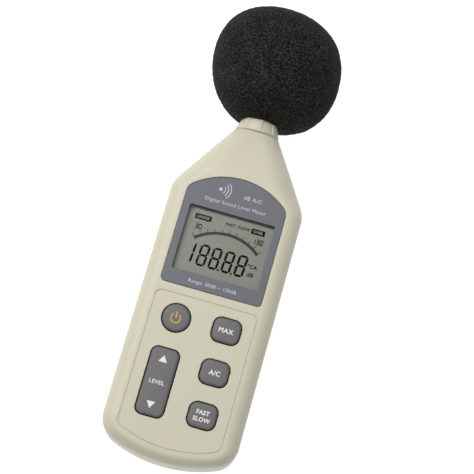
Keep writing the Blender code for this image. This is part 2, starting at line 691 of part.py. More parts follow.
def make_side_ports(maker, finishes):
    """The jack board on the left side, with its two jacks and the calibration trimmer."""
    board_back = JACK_BOARD_X - BOARD_THICKNESS
    low_y, high_y = DC_JACK_Y - DC_JACK_HALF - CUT, TRIMMER_Y + TRIMMER_HALF + CUT
    plate = bmesh.new()
    prism(plate, rectangle(board_back, JACK_BOARD_X, low_y, high_y), JACK_BOARD_LOW_Z, BOARD_Z - 2 * GAP)
    maker.solid("jack_board", plate, finishes["board"])

    face_x = -BODY_WIDTH / 2 + WALL + GAP
    back_x = board_back - GAP
    for name, y, half, bore in (
        ("dc_jack", DC_JACK_Y, DC_JACK_HALF, DC_JACK_BORE),
        ("output_jack", OUTPUT_JACK_Y, OUTPUT_JACK_HALF, OUTPUT_JACK_BORE),
    ):
        body = bmesh.new()
        prism(body, rectangle(face_x, back_x, y - half, y + half), SIDE_PORT_Z - half, SIDE_PORT_Z + half)
        jack = maker.solid(name, body, finishes["dark"])
        hole = bmesh.new()
        rod(hole, (face_x - CUT, y, SIDE_PORT_Z), (back_x - JACK_FLOOR, y, SIDE_PORT_Z), bore)
        change(jack, maker.solid(name + "_bore", hole), "DIFFERENCE")
        if name == "dc_jack":
            pin = bmesh.new()
            ends = (face_x + PIN_DROP, y, SIDE_PORT_Z), (back_x - CUT, y, SIDE_PORT_Z)
            rod(pin, *ends, DC_PIN_RADIUS, 16)
            change(jack, maker.solid(name + "_pin", pin), "UNION")

    body = bmesh.new()
    front_x = back_x - TRIMMER_HALF
    spot = rectangle(front_x, back_x, TRIMMER_Y - TRIMMER_HALF, TRIMMER_Y + TRIMMER_HALF)
    prism(body, spot, SIDE_PORT_Z - TRIMMER_HALF, SIDE_PORT_Z + TRIMMER_HALF)
    maker.solid("trimmer_body", body, finishes["blue"])
    rotor = bmesh.new()
    tip_x = front_x - GAP - TRIMMER_SCREW_LENGTH
    ends = (front_x - GAP, TRIMMER_Y, SIDE_PORT_Z), (tip_x, TRIMMER_Y, SIDE_PORT_Z)
    rod(rotor, *ends, TRIMMER_SCREW_RADIUS)
    rotor = maker.solid("trimmer_screw", rotor, finishes["brass"])
    slot = bmesh.new()
    reach = 2 * TRIMMER_SCREW_RADIUS
    spot = rectangle(tip_x - CUT, tip_x + TRIMMER_SLOT_DEPTH, TRIMMER_Y - reach, TRIMMER_Y + reach)
    prism(slot, spot, SIDE_PORT_Z - TRIMMER_SLOT_HALF, SIDE_PORT_Z + TRIMMER_SLOT_HALF)
    change(rotor, maker.solid("trimmer_slot", slot), "DIFFERENCE")


def make_screw(maker, name, finish, place, head_z, head_radius, head_height, radius, length):
    """A pan-head screw driven towards +Z, with a crossed recess in its head."""
    x, y = place
    body = bmesh.new()
    rings = []
    for z, r in (
        (head_z, 0.75 * head_radius),
        (head_z + 0.35 * head_height, head_radius),
        (head_z + head_height, head_radius),
        (head_z + head_height, radius),
        (head_z + head_height + length, radius),
    ):
        rings.append([(px, py, z) for px, py in circle((x, y), r, 12)])
    loft(body, rings)
    screw = maker.solid(name, body, finish)
    for index in range(2):
        half = (CROSS_HALF_LENGTH * head_radius, CROSS_HALF_WIDTH * head_radius)[:: 1 if index else -1]
        cross = bmesh.new()
        spot = rectangle(x - half[0], x + half[0], y - half[1], y + half[1])
        prism(cross, spot, head_z - CUT, head_z + 0.5 * head_height)
        change(screw, maker.solid(name + ("_slot_across", "_slot_along")[index], cross), "DIFFERENCE")


def make_screws(maker, finish):
    for index, place in enumerate(CASE_SCREWS):
        head_z = SCREW_SEAT_Z - GAP - SCREW_HEAD_HEIGHT
        length = FRONT_INSIDE_Z - 2.5 * WALL - SCREW_SEAT_Z
        make_screw(
            maker, f"case_screw_{index + 1}", finish, place,
            head_z, SCREW_HEAD_RADIUS, SCREW_HEAD_HEIGHT, SCREW_RADIUS, length,
        )
    for index, place in enumerate(BOARD_SCREWS):
        make_screw(
            maker, f"board_screw_{index + 1}", finish, place,
            BOARD_Z - GAP - BOARD_HEAD_HEIGHT, BOARD_HEAD_RADIUS, BOARD_HEAD_HEIGHT,
            BOARD_SCREW_RADIUS, BOARD_SCREW_LENGTH,
        )


def make_batteries(maker, finishes):
    """Four cells in series, each with a spring at its flat end."""
    low_plate = BAY_BOTTOM_Y + GAP
    high_plate = BAY_TOP_Y - GAP - CONTACT_THICKNESS
    for index in range(4):
        x = (index - 1.5) * CELL_PITCH
        nub_up = index % 2 == 0
        if nub_up:
            nub_end, way = high_plate - GAP, -1
        else:
            nub_end, way = low_plate + CONTACT_THICKNESS + GAP, 1
        can = CELL_RADIUS
        bevel = 0.6 * CELL_SHOULDER
        profile = [(0.0, NUB_RADIUS), (NUB_LENGTH, NUB_RADIUS), (NUB_LENGTH, can - CELL_SHOULDER)]
        profile += [(NUB_LENGTH + CELL_SHOULDER, can), (CELL_LENGTH - bevel, can), (CELL_LENGTH, can - bevel)]
        cell = bmesh.new()
        turned(cell, [(nub_end + way * y, r, r) for y, r in profile], x, CELL_Z, count=16)
        maker.solid(f"cell_{index + 1}", cell, finishes["cell"])

        start = nub_end + way * (CELL_LENGTH + GAP)
        make_spring(maker, f"battery_spring_{index + 1}", finishes["steel"], x, start, way)

    wide, pitch = CONTACT_HALF, CELL_PITCH
    for name, left, right, y in (
        ("contact_bridge_lower_left", -1.5, -0.5, low_plate),
        ("contact_bridge_lower_right", 0.5, 1.5, low_plate),
        ("contact_bridge_upper", -0.5, 0.5, high_plate),
        ("contact_terminal_left", -1.5, -1.5, high_plate),
        ("contact_terminal_right", 1.5, 1.5, high_plate),
    ):
        plate = bmesh.new()
        spot = rectangle(left * pitch - wide, right * pitch + wide, y, y + CONTACT_THICKNESS)
        prism(plate, spot, CELL_Z - wide, CELL_Z + wide)
        maker.solid(name, plate, finishes["steel"])


def make_spring(maker, name, finish, x, start, way):
    """A coil from start along way (1 or -1) on the Y axis."""
    curve = bpy.data.curves.new(name, "CURVE")
    curve.dimensions = "3D"
    curve.bevel_depth = SPRING_WIRE
    curve.bevel_resolution = 0
    curve.use_fill_caps = True
    spline = curve.splines.new("POLY")
    count = int(10 * SPRING_TURNS)
    spline.points.add(count)
    run = SPRING_LENGTH - GAP - 2 * SPRING_WIRE
    for index in range(count + 1):
        angle = 2 * math.pi * SPRING_TURNS * index / count
        y = start + way * (SPRING_WIRE + run * index / count)
        z = CELL_Z + SPRING_RADIUS * math.sin(angle)
        spline.points[index].co = (x + SPRING_RADIUS * math.cos(angle), y, z, 1.0)
    maker.put(name, curve, finish)


def make_tripod_insert(maker, finish):
    body = bmesh.new()
    rod(body, (0, TRIPOD_Y, GAP / 2), (0, TRIPOD_Y, GAP / 2 + INSERT_LENGTH), INSERT_RADIUS, 24)
    insert = maker.solid("tripod_insert", body, finish)
    bore = bmesh.new()
    rod(bore, (0, TRIPOD_Y, -CUT), (0, TRIPOD_Y, TRIPOD_BORE_DEPTH), TRIPOD_BORE_RADIUS, 24)
    change(insert, maker.solid("tripod_bore", bore), "DIFFERENCE")


def make_microphone(maker, finishes):
    bore = MIC_RADIUS + GAP
    spigot_across = NECK_HALF_WIDTH - WALL / math.cos(CONE_ANGLE) - GAP
    spigot_deep = NECK_HALF_DEPTH - WALL - GAP
    seam = NECK_END_Y + GAP
    collar = bmesh.new()
    low = NECK_END_Y - SPIGOT_LENGTH
    profile = [
        (low, bore, bore),
        (low, spigot_across, spigot_deep),
        (seam, spigot_across, spigot_deep),
        (seam, NECK_HALF_WIDTH - GAP / 2, NECK_HALF_DEPTH),
        (
            blend(seam, COLLAR_ROUND_Y, 0.5),
            blend(NECK_HALF_WIDTH, COLLAR_ROUND_RADIUS, 0.55),
            blend(NECK_HALF_DEPTH, COLLAR_ROUND_RADIUS, 0.5),
        ),
        (COLLAR_ROUND_Y, COLLAR_ROUND_RADIUS, COLLAR_ROUND_RADIUS),
        (COLLAR_END_Y, COLLAR_TOP_RADIUS, COLLAR_TOP_RADIUS),
        (COLLAR_END_Y, bore, bore),
    ]
    turned(collar, profile, looped=True)
    maker.solid("neck_collar", collar, finishes["ivory"])

    inner = MIC_RADIUS - MIC_WALL
    tube = bmesh.new()
    low, high = MIC_TUBE_START_Y, MIC_TUBE_END_Y
    ends = ((low, inner), (low, MIC_RADIUS), (high, MIC_RADIUS), (high, inner))
    turned(tube, [(y, r, r) for y, r in ends], looped=True)
    maker.solid("mic_tube", tube, finishes["dark"])

    capsule_y = MIC_TUBE_END_Y + GAP
    capsule = bmesh.new()
    rod(capsule, (0, capsule_y, MID_Z), (0, capsule_y + CAPSULE_LENGTH, MID_Z), MIC_RADIUS, 24)
    maker.solid("mic_capsule", capsule, finishes["steel"])

    grid_y = capsule_y + CAPSULE_LENGTH + GAP
    top = grid_y + GRID_LENGTH
    cup = bmesh.new()
    middle = GRID_MIDDLE_RADIUS
    ends = [(grid_y, inner), (grid_y, MIC_RADIUS), (top - GRID_BEVEL, MIC_RADIUS)]
    ends += [(top, MIC_RADIUS - GRID_BEVEL), (top, middle), (top - CUT, middle), (top - CUT, inner)]
    turned(cup, [(y, r, r) for y, r in ends], looped=True)
    grid = maker.solid("mic_grid", cup, finishes["steel"])
    holes = bmesh.new()
    for x, z in circle((0.0, MID_Z), GRID_HOLE_CIRCLE, GRID_HOLES):
        rod(holes, (x, top - 2 * CUT, z), (x, top + CUT, z), GRID_HOLE_RADIUS, 8)
    change(grid, maker.solid("grid_holes", holes), "DIFFERENCE")


def make_windscreen(maker, finish):
    """A slightly squared foam ball with a stepped blind bore for the collar and the microphone."""
    mouth = COLLAR_ROUND_RADIUS + GAP
    bore = MIC_RADIUS + GAP
    capsule_end = MIC_TUBE_END_Y + CAPSULE_LENGTH + GRID_LENGTH + 2 * GAP
    bore_end = capsule_end + FOAM_BORE_SPARE
    outside = []
    power = 2 / FOAM_SQUARENESS
    start = math.asin((mouth / FOAM_HALF_WIDTH) ** (1 / power))
    for angle in steps(start, math.pi, 15)[:-1]:
        across = FOAM_HALF_WIDTH * math.sin(angle) ** power
        along = FOAM_HALF_LENGTH * abs(math.cos(angle)) ** power
        outside.append((FOAM_CENTRE_Y - math.copysign(along, math.cos(angle)), across))
    foam = bmesh.new()
    step_y = COLLAR_END_Y + GAP
    inside = [(bore_end, FOAM_TIP_RADIUS), (bore_end, bore), (step_y, bore), (step_y, mouth)]
    tip = (FOAM_CENTRE_Y + FOAM_HALF_LENGTH, FOAM_TIP_RADIUS)
    profile = outside + [tip] + inside
    rings = []
    for y, radius in profile:
        rings.append([(radius * a, y, MID_Z + radius * b) for a, b in circle((0.0, 0.0), 1.0)])
    made = [[foam.verts.new(point) for point in ring] for ring in rings]
    tip_index = len(outside)
    for index, low in enumerate(made):
        high = made[(index + 1) % len(made)]
        if index == tip_index:
            foam.faces.new(low)
            foam.faces.new(high)
            continue
        for spot in range(len(low)):
            after = (spot + 1) % len(low)
            foam.faces.new((low[spot], low[after], high[after], high[spot]))
    maker.solid("windscreen", foam, finish)


def main():
    clear_scene()
    maker = Maker()
    finishes = {
        "ivory": material("ivory_plastic", (0.66, 0.63, 0.50), 0.45),
        "slate": material("slate_overlay", (0.16, 0.18, 0.22), 0.35),
        "clear": material("clear_acrylic", (0.9, 0.9, 0.9), 0.05),
        "lcd": material("lcd_glass", (0.26, 0.28, 0.23), 0.2),
        "white": material("white_plastic", (0.8, 0.8, 0.78), 0.5),
        "rubber": material("conductive_rubber", (0.05, 0.05, 0.05), 0.8),
        "key": material("grey_key", (0.17, 0.17, 0.17), 0.55),
        "board": material("green_board", (0.02, 0.16, 0.07), 0.4),
        "dark": material("black_plastic", (0.02, 0.02, 0.02), 0.4),
        "blue": material("blue_trimmer", (0.03, 0.1, 0.4), 0.4),
        "brass": material("brass", (0.7, 0.5, 0.2), 0.3, 1.0),
        "steel": material("steel", (0.6, 0.6, 0.6), 0.3, 1.0),
        "cell": material("cell_jacket", (0.1, 0.12, 0.14), 0.35),
        "foam": material("black_foam", (0.025, 0.025, 0.025), 0.95),
    }
    make_front_case(maker, finishes["ivory"])
    make_rear_case(maker, finishes["ivory"])
    make_battery_door(maker, finishes["ivory"])
    make_keys(maker, finishes["key"])
    make_display(maker, finishes)
    make_main_board(maker, finishes)
    make_side_ports(maker, finishes)
    make_screws(maker, finishes["steel"])
    make_batteries(maker, finishes)
    make_tripod_insert(maker, finishes["brass"])
    make_microphone(maker, finishes)
    make_windscreen(maker, finishes["foam"])


main()
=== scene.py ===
"""Looks of the handheld sound level meter: moulded case, printed display, keys and foam windscreen."""

import json
import math

import bmesh
import bpy
import numpy as np
from mathutils import Matrix, Vector
from mathutils.geometry import tessellate_polygon


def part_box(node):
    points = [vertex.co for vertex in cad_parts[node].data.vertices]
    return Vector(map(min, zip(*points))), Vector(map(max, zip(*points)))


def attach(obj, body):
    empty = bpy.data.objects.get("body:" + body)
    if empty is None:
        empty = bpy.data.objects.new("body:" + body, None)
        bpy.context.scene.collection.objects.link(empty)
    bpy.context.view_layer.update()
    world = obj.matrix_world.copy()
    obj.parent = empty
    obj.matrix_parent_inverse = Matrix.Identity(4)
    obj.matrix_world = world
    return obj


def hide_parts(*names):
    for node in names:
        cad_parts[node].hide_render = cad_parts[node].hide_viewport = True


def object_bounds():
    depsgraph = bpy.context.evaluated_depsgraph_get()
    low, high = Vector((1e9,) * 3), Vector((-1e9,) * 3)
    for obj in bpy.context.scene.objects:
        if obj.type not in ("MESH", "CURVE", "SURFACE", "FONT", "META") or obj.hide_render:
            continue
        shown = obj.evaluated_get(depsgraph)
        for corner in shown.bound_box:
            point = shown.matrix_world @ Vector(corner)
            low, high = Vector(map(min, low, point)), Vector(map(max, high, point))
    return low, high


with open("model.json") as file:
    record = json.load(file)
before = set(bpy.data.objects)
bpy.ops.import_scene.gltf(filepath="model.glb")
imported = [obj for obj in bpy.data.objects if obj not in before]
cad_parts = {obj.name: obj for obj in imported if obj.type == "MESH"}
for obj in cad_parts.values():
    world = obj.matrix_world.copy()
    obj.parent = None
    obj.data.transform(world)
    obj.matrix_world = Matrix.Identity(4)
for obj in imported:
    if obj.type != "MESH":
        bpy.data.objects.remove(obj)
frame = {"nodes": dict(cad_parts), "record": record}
cad_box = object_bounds()
nodes = frame["nodes"]
MM = 0.001

# Places that come from the frame
case_low, case_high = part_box("front_case")
rear_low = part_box("rear_case")[0]
panel_low, panel_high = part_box("display_panel")
glass_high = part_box("lcd_glass")[1]
foam_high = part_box("windscreen")[1]
collar_low, collar_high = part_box("neck_collar")
END_Y = case_low.y
NECK_Y = case_high.y
HALF_WIDTH = case_high.x
FACE_Z = case_high.z
BACK_Z = rear_low.z
MID_Z = (FACE_Z + BACK_Z) / 2
PARTING = case_low.z - MID_Z

# Case form, as in the frame
WALL = 2.2 * MM
NECK_HALF_WIDTH = 12.15 * MM
NECK_HALF_DEPTH = 10.8 * MM
CONE_ANGLE = math.radians(32.2)
BOTTOM_RADIUS = 73 * MM
CORNER_RADIUS = 12.5 * MM
SHOULDER_RADIUS = 22 * MM
FRONT_EDGE = 7.5 * MM
FRONT_END_EDGE = 5 * MM
BACK_EDGE = 4 * MM
SHOULDER_ROUNDING = 0.5
NECK_ROUNDING = 0.9
SEAM_DIP = 0.9 * MM
DEPTH_CURVE = 1.4
MARGIN = 0.25 * MM
FACE_MARGIN = 1.2 * MM
INSIDE_Z = FACE_Z - WALL


def at(y):
    """Distance in millimetres from the bottom end, as a place on Y."""
    return END_Y + y * MM


# ---- meshes


class Skin:
    """Collects patches of points and joins them into one mesh."""

    def __init__(self):
        self.points, self.faces, self.count = [], [], 0

    def add(self, points, faces):
        points = np.asarray(points, float).reshape(-1, 3)
        self.points.append(points)
        self.faces += [tuple(face) for face in (np.asarray(faces) + self.count).tolist()]
        self.count += len(points)

    def grid(self, points, around=False):
        """Quads over an array of rows and columns of points; around joins the last column to the first."""
        rows, columns = points.shape[:2]
        index = np.arange(rows * columns).reshape(rows, columns)
        if around:
            index = np.hstack([index, index[:, :1]])
        quads = np.stack([index[:-1, :-1], index[:-1, 1:], index[1:, 1:], index[1:, :-1]], -1)
        self.add(points, quads.reshape(-1, 4))

    def flat(self, loops):
        """A flat patch inside the first loop and outside the others."""
        loops = [np.asarray(loop, float) for loop in loops]
        faces = tessellate_polygon([[Vector(p) for p in loop] for loop in loops])
        self.add(np.vstack(loops), faces)

    def mesh(self, name, sharp=35, closed=True):
        mesh = bpy.data.meshes.new(name)
        mesh.from_pydata(np.vstack(self.points).tolist(), [], self.faces)
        work = bmesh.new()
        work.from_mesh(mesh)
        bmesh.ops.remove_doubles(work, verts=work.verts, dist=2e-6)
        bmesh.ops.dissolve_degenerate(work, edges=work.edges, dist=1e-7)
        if closed:
            bmesh.ops.recalc_face_normals(work, faces=work.faces)
        work.to_mesh(mesh)
        work.free()
        mesh.shade_smooth()
        mesh.set_sharp_from_angle(angle=math.radians(sharp))
        return mesh


def linked(name, data):
    thing = bpy.data.objects.new(name, data)
    bpy.context.scene.collection.objects.link(thing)
    return thing


def piece(name, mesh, body, finish, replaces=()):
    """Puts a mesh into the scene on a body, with its finish, and hides the frame nodes it replaces."""
    thing = linked(name, mesh)
    thing.data.materials.clear()
    thing.data.materials.append(finish)
    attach(thing, body)
    if replaces:
        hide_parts(*replaces)
    return thing


def circle(x, y, radius, count=64):
    """A loop function: grow moves every point outwards."""
    angle = np.linspace(0, 2 * np.pi, count, endpoint=False)

    def loop(grow):
        reach = max(radius + grow, 0.0)
        return np.stack([x + reach * np.cos(angle), y + reach * np.sin(angle)], -1)

    return loop


def rounded(x, y, width, length, radius, count=10):
    """A rectangle with round corners as a loop function: quarter circles about four corner centres."""
    quarter = np.linspace(0, np.pi / 2, count)

    def loop(grow):
        bend = max(radius + grow, 0.05 * MM)
        parts = []
        for turn, (sx, sy) in enumerate(((1, 1), (-1, 1), (-1, -1), (1, -1))):
            cx = x + sx * (width / 2 + grow - bend)
            cy = y + sy * (length / 2 + grow - bend)
            angle = quarter + turn * np.pi / 2
            parts.append(np.stack([cx + bend * np.cos(angle), cy + bend * np.sin(angle)], -1))
        return np.vstack(parts)

    return loop


def arched(half, low_y, top_y, low_radius, high_radius, arch_radius, count=14):
    """A loop function for the display panel: an arc over two straight sides, each joined by a small arc."""
    arch_y = top_y - arch_radius
    shoulder_x = half - high_radius
    shoulder_y = arch_y + math.sqrt((arch_radius - high_radius) ** 2 - shoulder_x**2)
    meeting = math.atan2(shoulder_y - arch_y, shoulder_x)

    def loop(grow):
        low, high, arch = low_radius + grow, high_radius + grow, arch_radius + grow
        angle = np.linspace(-np.pi / 2, 0, count)
        corner_x, corner_y = half - low_radius, low_y + low_radius
        parts = [np.stack([corner_x + low * np.cos(angle), corner_y + low * np.sin(angle)], -1)]
        angle = np.linspace(0, meeting, count)
        parts.append(np.stack([shoulder_x + high * np.cos(angle), shoulder_y + high * np.sin(angle)], -1))
        angle = np.linspace(meeting, np.pi / 2, 2 * count)[1:]
        parts.append(np.stack([arch * np.cos(angle), arch_y + arch * np.sin(angle)], -1))
        right = np.vstack(parts)
        return np.vstack([right, right[-2::-1] * (-1, 1)])

    return loop


def bellied(half, low_y, top_y, low_radius, high_radius, belly_radius, count=14):
    """A loop function for the keypad's groove: the arched form upside down."""
    upright = arched(half, 0, top_y - low_y, high_radius, low_radius, belly_radius, count)

    def loop(grow):
        return upright(grow) * (1, -1) + (0, top_y)

    return loop


def sweep(loop, profile):
    """Rows of points: the loop grown by each entry of the profile, at that entry's height."""
    return np.stack([np.column_stack([loop(grow), np.full(len(loop(grow)), z)]) for grow, z in profile])


def lifted(loop, grow, z):
    return sweep(loop, [(grow, z)])[0]


def fillet(radius, z, down, steps=6):
    """Profile of a quarter circle that turns a face at height z into a wall; down is 1 if it faces up."""
    angle = np.linspace(0, np.pi / 2, steps)
    return [(radius * (1 - math.sin(a)), z - down * radius * (1 - math.cos(a))) for a in angle]


PANEL_TOP_Y = at(149.6)
FACE_END_Y = PANEL_TOP_Y + FACE_MARGIN


def eased(start, end, values):
    """0 up to start, rising smoothly to 1 at end."""
    share = np.clip((values - start) / (end - start), 0, 1)
    return share * share * (3 - 2 * share)


def case_outline(inset):
    """Right half of the case from the bottom centre to the neck.

    Arcs of the bottom, corner and shoulder radii, then a straight cone. Returns the points, the
    directions in which the edge rounding runs in, and the share from end edge to side edge.
    """
    corner_x = HALF_WIDTH - CORNER_RADIUS
    corner_y = BOTTOM_RADIUS - math.sqrt((BOTTOM_RADIUS - CORNER_RADIUS) ** 2 - corner_x**2)
    meeting = math.atan2(corner_x, BOTTOM_RADIUS - corner_y)
    angle = np.linspace(0, meeting, 18)[:-1]
    out = np.stack([np.sin(angle), -np.cos(angle)], -1)
    points, inward, share = [out * (BOTTOM_RADIUS - inset) + (0, BOTTOM_RADIUS)], [-out], [0 * angle]
    angle = np.linspace(meeting, np.pi / 2, 20)
    out = np.stack([np.sin(angle), -np.cos(angle)], -1)
    points.append(out * (CORNER_RADIUS - inset) + (corner_x, corner_y))
    inward.append(-out)
    share.append(np.linspace(0, 1, 20))
    cone_length = (HALF_WIDTH - NECK_HALF_WIDTH) / math.tan(CONE_ANGLE)
    neck_y = NECK_Y - END_Y
    shoulder_y = neck_y - cone_length - SHOULDER_RADIUS * math.tan(CONE_ANGLE / 2)
    angle = np.linspace(0, CONE_ANGLE, 16)
    out = np.stack([np.cos(angle), np.sin(angle)], -1)
    arc = out * (SHOULDER_RADIUS - inset) + (HALF_WIDTH - SHOULDER_RADIUS, shoulder_y)
    end = np.array([NECK_HALF_WIDTH - inset / math.cos(CONE_ANGLE), neck_y])
    face = np.linspace(arc[-1, 1], FACE_END_Y - END_Y, FACE_ROWS + 1)[1:]
    rows = np.concatenate([face, np.linspace(face[-1], end[1], 36)[1:]])
    cone = arc[-1] + ((rows - arc[-1, 1]) / (end[1] - arc[-1, 1]))[:, None] * (end - arc[-1])
    points += [arc, cone]
    level = np.tile((-1.0, 0.0), (len(arc) + len(cone), 1))
    inward.append(level)
    share.append(np.ones(len(level)))
    return np.vstack(points) + (0, END_Y), np.vstack(inward), np.concatenate(share)


BOTTOM_COUNT, CORNER_COUNT, SHOULDER_COUNT, FACE_ROWS = 17, 20, 16, 3
FLAT_ROWS = BOTTOM_COUNT + CORNER_COUNT + SHOULDER_COUNT + FACE_ROWS
SIDE_ROW = BOTTOM_COUNT + CORNER_COUNT - 1


# Between these heights the front's rounded edge grows to a whole ellipse, across and then up
ROUNDING_START_Y = PANEL_TOP_Y - 13.6 * MM
ACROSS_END_Y = PANEL_TOP_Y + 4.4 * MM
UP_END_Y = PANEL_TOP_Y + 0.4 * MM


def case_rows(side, inset, edge_steps=18):
    """Rows of points up the right side of a case half and over its rounded edge.

    Across the edge a point moves in by a (1 - cos t) and up by b sin t, a quarter ellipse.
    """
    points, inward, share = case_outline(inset)
    cone = np.clip((points[:, 1] - FACE_END_Y) / (NECK_Y - FACE_END_Y), 0, 1)
    half_depth = (FACE_Z - BACK_Z) / 2
    depth = half_depth + (NECK_HALF_DEPTH - half_depth) * cone**DEPTH_CURVE - inset
    edge = (FRONT_EDGE if side > 0 else BACK_EDGE) - inset
    end_edge = (FRONT_END_EDGE if side > 0 else BACK_EDGE) - inset
    across = end_edge + (edge - end_edge) * share
    if side > 0:
        widest = points[:, 0] * (SHOULDER_ROUNDING + (NECK_ROUNDING - SHOULDER_ROUNDING) * cone**2)
        across = across + (widest - across) * eased(ROUNDING_START_Y, ACROSS_END_Y, points[:, 1])
        round_share = eased(ROUNDING_START_Y, UP_END_Y, points[:, 1])
    else:
        across = across + (NECK_ROUNDING * points[:, 0] - across) * cone
        round_share = cone
    up = edge + (NECK_ROUNDING * depth - edge) * round_share
    angle = np.linspace(0, np.pi / 2, edge_steps)
    place = points[:, None] + inward[:, None] * across[:, None, None] * (1 - np.cos(angle))[:, None]
    height = depth[:, None] - up[:, None] * (1 - np.sin(angle))
    over = np.concatenate([place, (MID_Z + side * height)[..., None]], -1)
    start = np.column_stack([points, np.full(len(points), MID_Z + side * PARTING)])
    return np.concatenate([start[:, None], over], 1)


MIRROR = np.array([-1.0, 1.0, 1.0])
DIP_LENGTH = 14 * MM


def dip(points):
    """Lowers the neck's end, most at its front and back.

    The drop is SEAM_DIP sin^2 a times n^2, where a is the angle about the neck's axis and n falls
    from 1 at the seam to 0 at DIP_LENGTH below it.
    """
    turn = np.arctan2(points[..., 2] - MID_Z, points[..., 0])
    near = np.clip((points[..., 1] - NECK_Y + DIP_LENGTH) / DIP_LENGTH, 0, 1)
    shift = np.zeros_like(points)
    shift[..., 1] = SEAM_DIP * np.sin(turn) ** 2 * near**2
    return points - shift


def case_skin(skin, side, port_loops=()):
    """Outer and inner skins of a case half, apart from its flat face, with the rims between them.

    Returns the boundary loops of the outer and the inner flat face.
    """
    shells, faces = [], []
    for inset in (0.0, WALL):
        right = dip(case_rows(side, inset))
        left = right * MIRROR
        skin.grid(right)
        if port_loops:
            skin.grid(left[: SIDE_ROW + 1])
            skin.grid(left[SIDE_ROW + 1 :])
            skin.grid(left[SIDE_ROW : SIDE_ROW + 2, 1:])
            wall = left[SIDE_ROW : SIDE_ROW + 2, :2]
            corners = [wall[0, 0], wall[0, 1], wall[1, 1], wall[1, 0]]
            skin.flat([corners] + [loop(inset) for loop in port_loops])
        else:
            skin.grid(left)
        spans = np.linspace(0, 1, 9)[:, None]
        tops = right[:, -1][:, None] * (1 - spans) + left[:, -1][:, None] * spans
        skin.grid(tops[FLAT_ROWS - 1 :])
        shells.append(np.concatenate([right, tops[:, 1:-1], left[:, ::-1]], 1))
        ring = np.vstack([right[:FLAT_ROWS, -1], tops[FLAT_ROWS - 1, 1:-1], left[FLAT_ROWS - 1 : 0 : -1, -1]])
        faces.append(ring)
    outer, inner = shells
    for column in (0, -1):
        skin.grid(np.stack([outer[:, column], inner[:, column]], 1))
    skin.grid(np.stack([outer[-1], inner[-1]]))
    return faces


PANEL = arched(26.5 * MM, at(87.2), PANEL_TOP_Y, 2.4 * MM, 6.5 * MM, 38 * MM)
WINDOW = rounded(0, at(112.6), 45 * MM, 34.8 * MM, 0.8 * MM)
CASE_WINDOW = rounded(0, at(112.6), 47.8 * MM, 37.6 * MM, 1 * MM)
GROOVE = bellied(26.5 * MM, at(6.6), at(82.6), 5 * MM, 3 * MM, 62 * MM)
KEY_X, KEY_WIDTH = 13 * MM, 15.2 * MM
KEYS = {"power_key": circle(-KEY_X, at(70.6), KEY_WIDTH / 2, 80)}
for key, key_y in (("max_key", 71), ("weighting_key", 49), ("response_key", 27)):
    KEYS[key] = rounded(KEY_X, at(key_y), KEY_WIDTH, 13.5 * MM, 4.5 * MM, 14)
KEYS["level_key"] = rounded(-KEY_X, at(37.2), KEY_WIDTH, 35.5 * MM, 4 * MM, 14)
RECESS_Z = FACE_Z - 1.2 * MM
GROOVE_HALF = 0.42 * MM
GROOVE_DEPTH = 0.5 * MM


def front_case():
    """The front shell: recess for the display, five key openings and the groove round the keypad."""
    skin = Skin()
    face, inside = case_skin(skin, 1)
    panel_lip, key_lip = 0.3 * MM, 0.35 * MM
    rim = [(panel_lip + MARGIN, FACE_Z)] + fillet(panel_lip, FACE_Z, 1)
    skin.grid(sweep(PANEL, rim + [(0, RECESS_Z), (-MARGIN, RECESS_Z)]), True)
    skin.flat([lifted(PANEL, -MARGIN, RECESS_Z), lifted(CASE_WINDOW, MARGIN, RECESS_Z)])
    down = [(0, INSIDE_Z), (MARGIN, INSIDE_Z)]
    skin.grid(sweep(CASE_WINDOW, [(MARGIN, RECESS_Z), (0, RECESS_Z)] + down), True)

    angle = np.linspace(0, np.pi, 9)
    bed = [(GROOVE_HALF * math.cos(a), FACE_Z - GROOVE_DEPTH * math.sin(a)) for a in angle]
    outside, island = GROOVE_HALF + 0.12 * MM, -GROOVE_HALF - 0.12 * MM
    skin.grid(sweep(GROOVE, [(outside, FACE_Z)] + bed + [(island, FACE_Z)]), True)

    keys = list(KEYS.values())
    wall = [(key_lip + MARGIN, FACE_Z)] + fillet(key_lip, FACE_Z, 1) + down
    for loop in keys:
        skin.grid(sweep(loop, wall), True)
    skin.flat([face, lifted(PANEL, panel_lip + MARGIN, FACE_Z), lifted(GROOVE, outside, FACE_Z)])
    skin.flat([lifted(GROOVE, island, FACE_Z)] + [lifted(loop, key_lip + MARGIN, FACE_Z) for loop in keys])
    skin.flat([inside] + [lifted(loop, MARGIN, INSIDE_Z) for loop in [CASE_WINDOW] + keys])
    return skin.mesh("front_shell")


SCREWS = [tuple(((low + high) / 2)[:2]) for low, high in (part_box(f"case_screw_{n}") for n in (1, 2, 3, 4))]
PORTS = [(at(104), 3.4 * MM), (at(116), 3.0 * MM), (at(126.5), 1.9 * MM)]
PORT_Z = 12.5 * MM


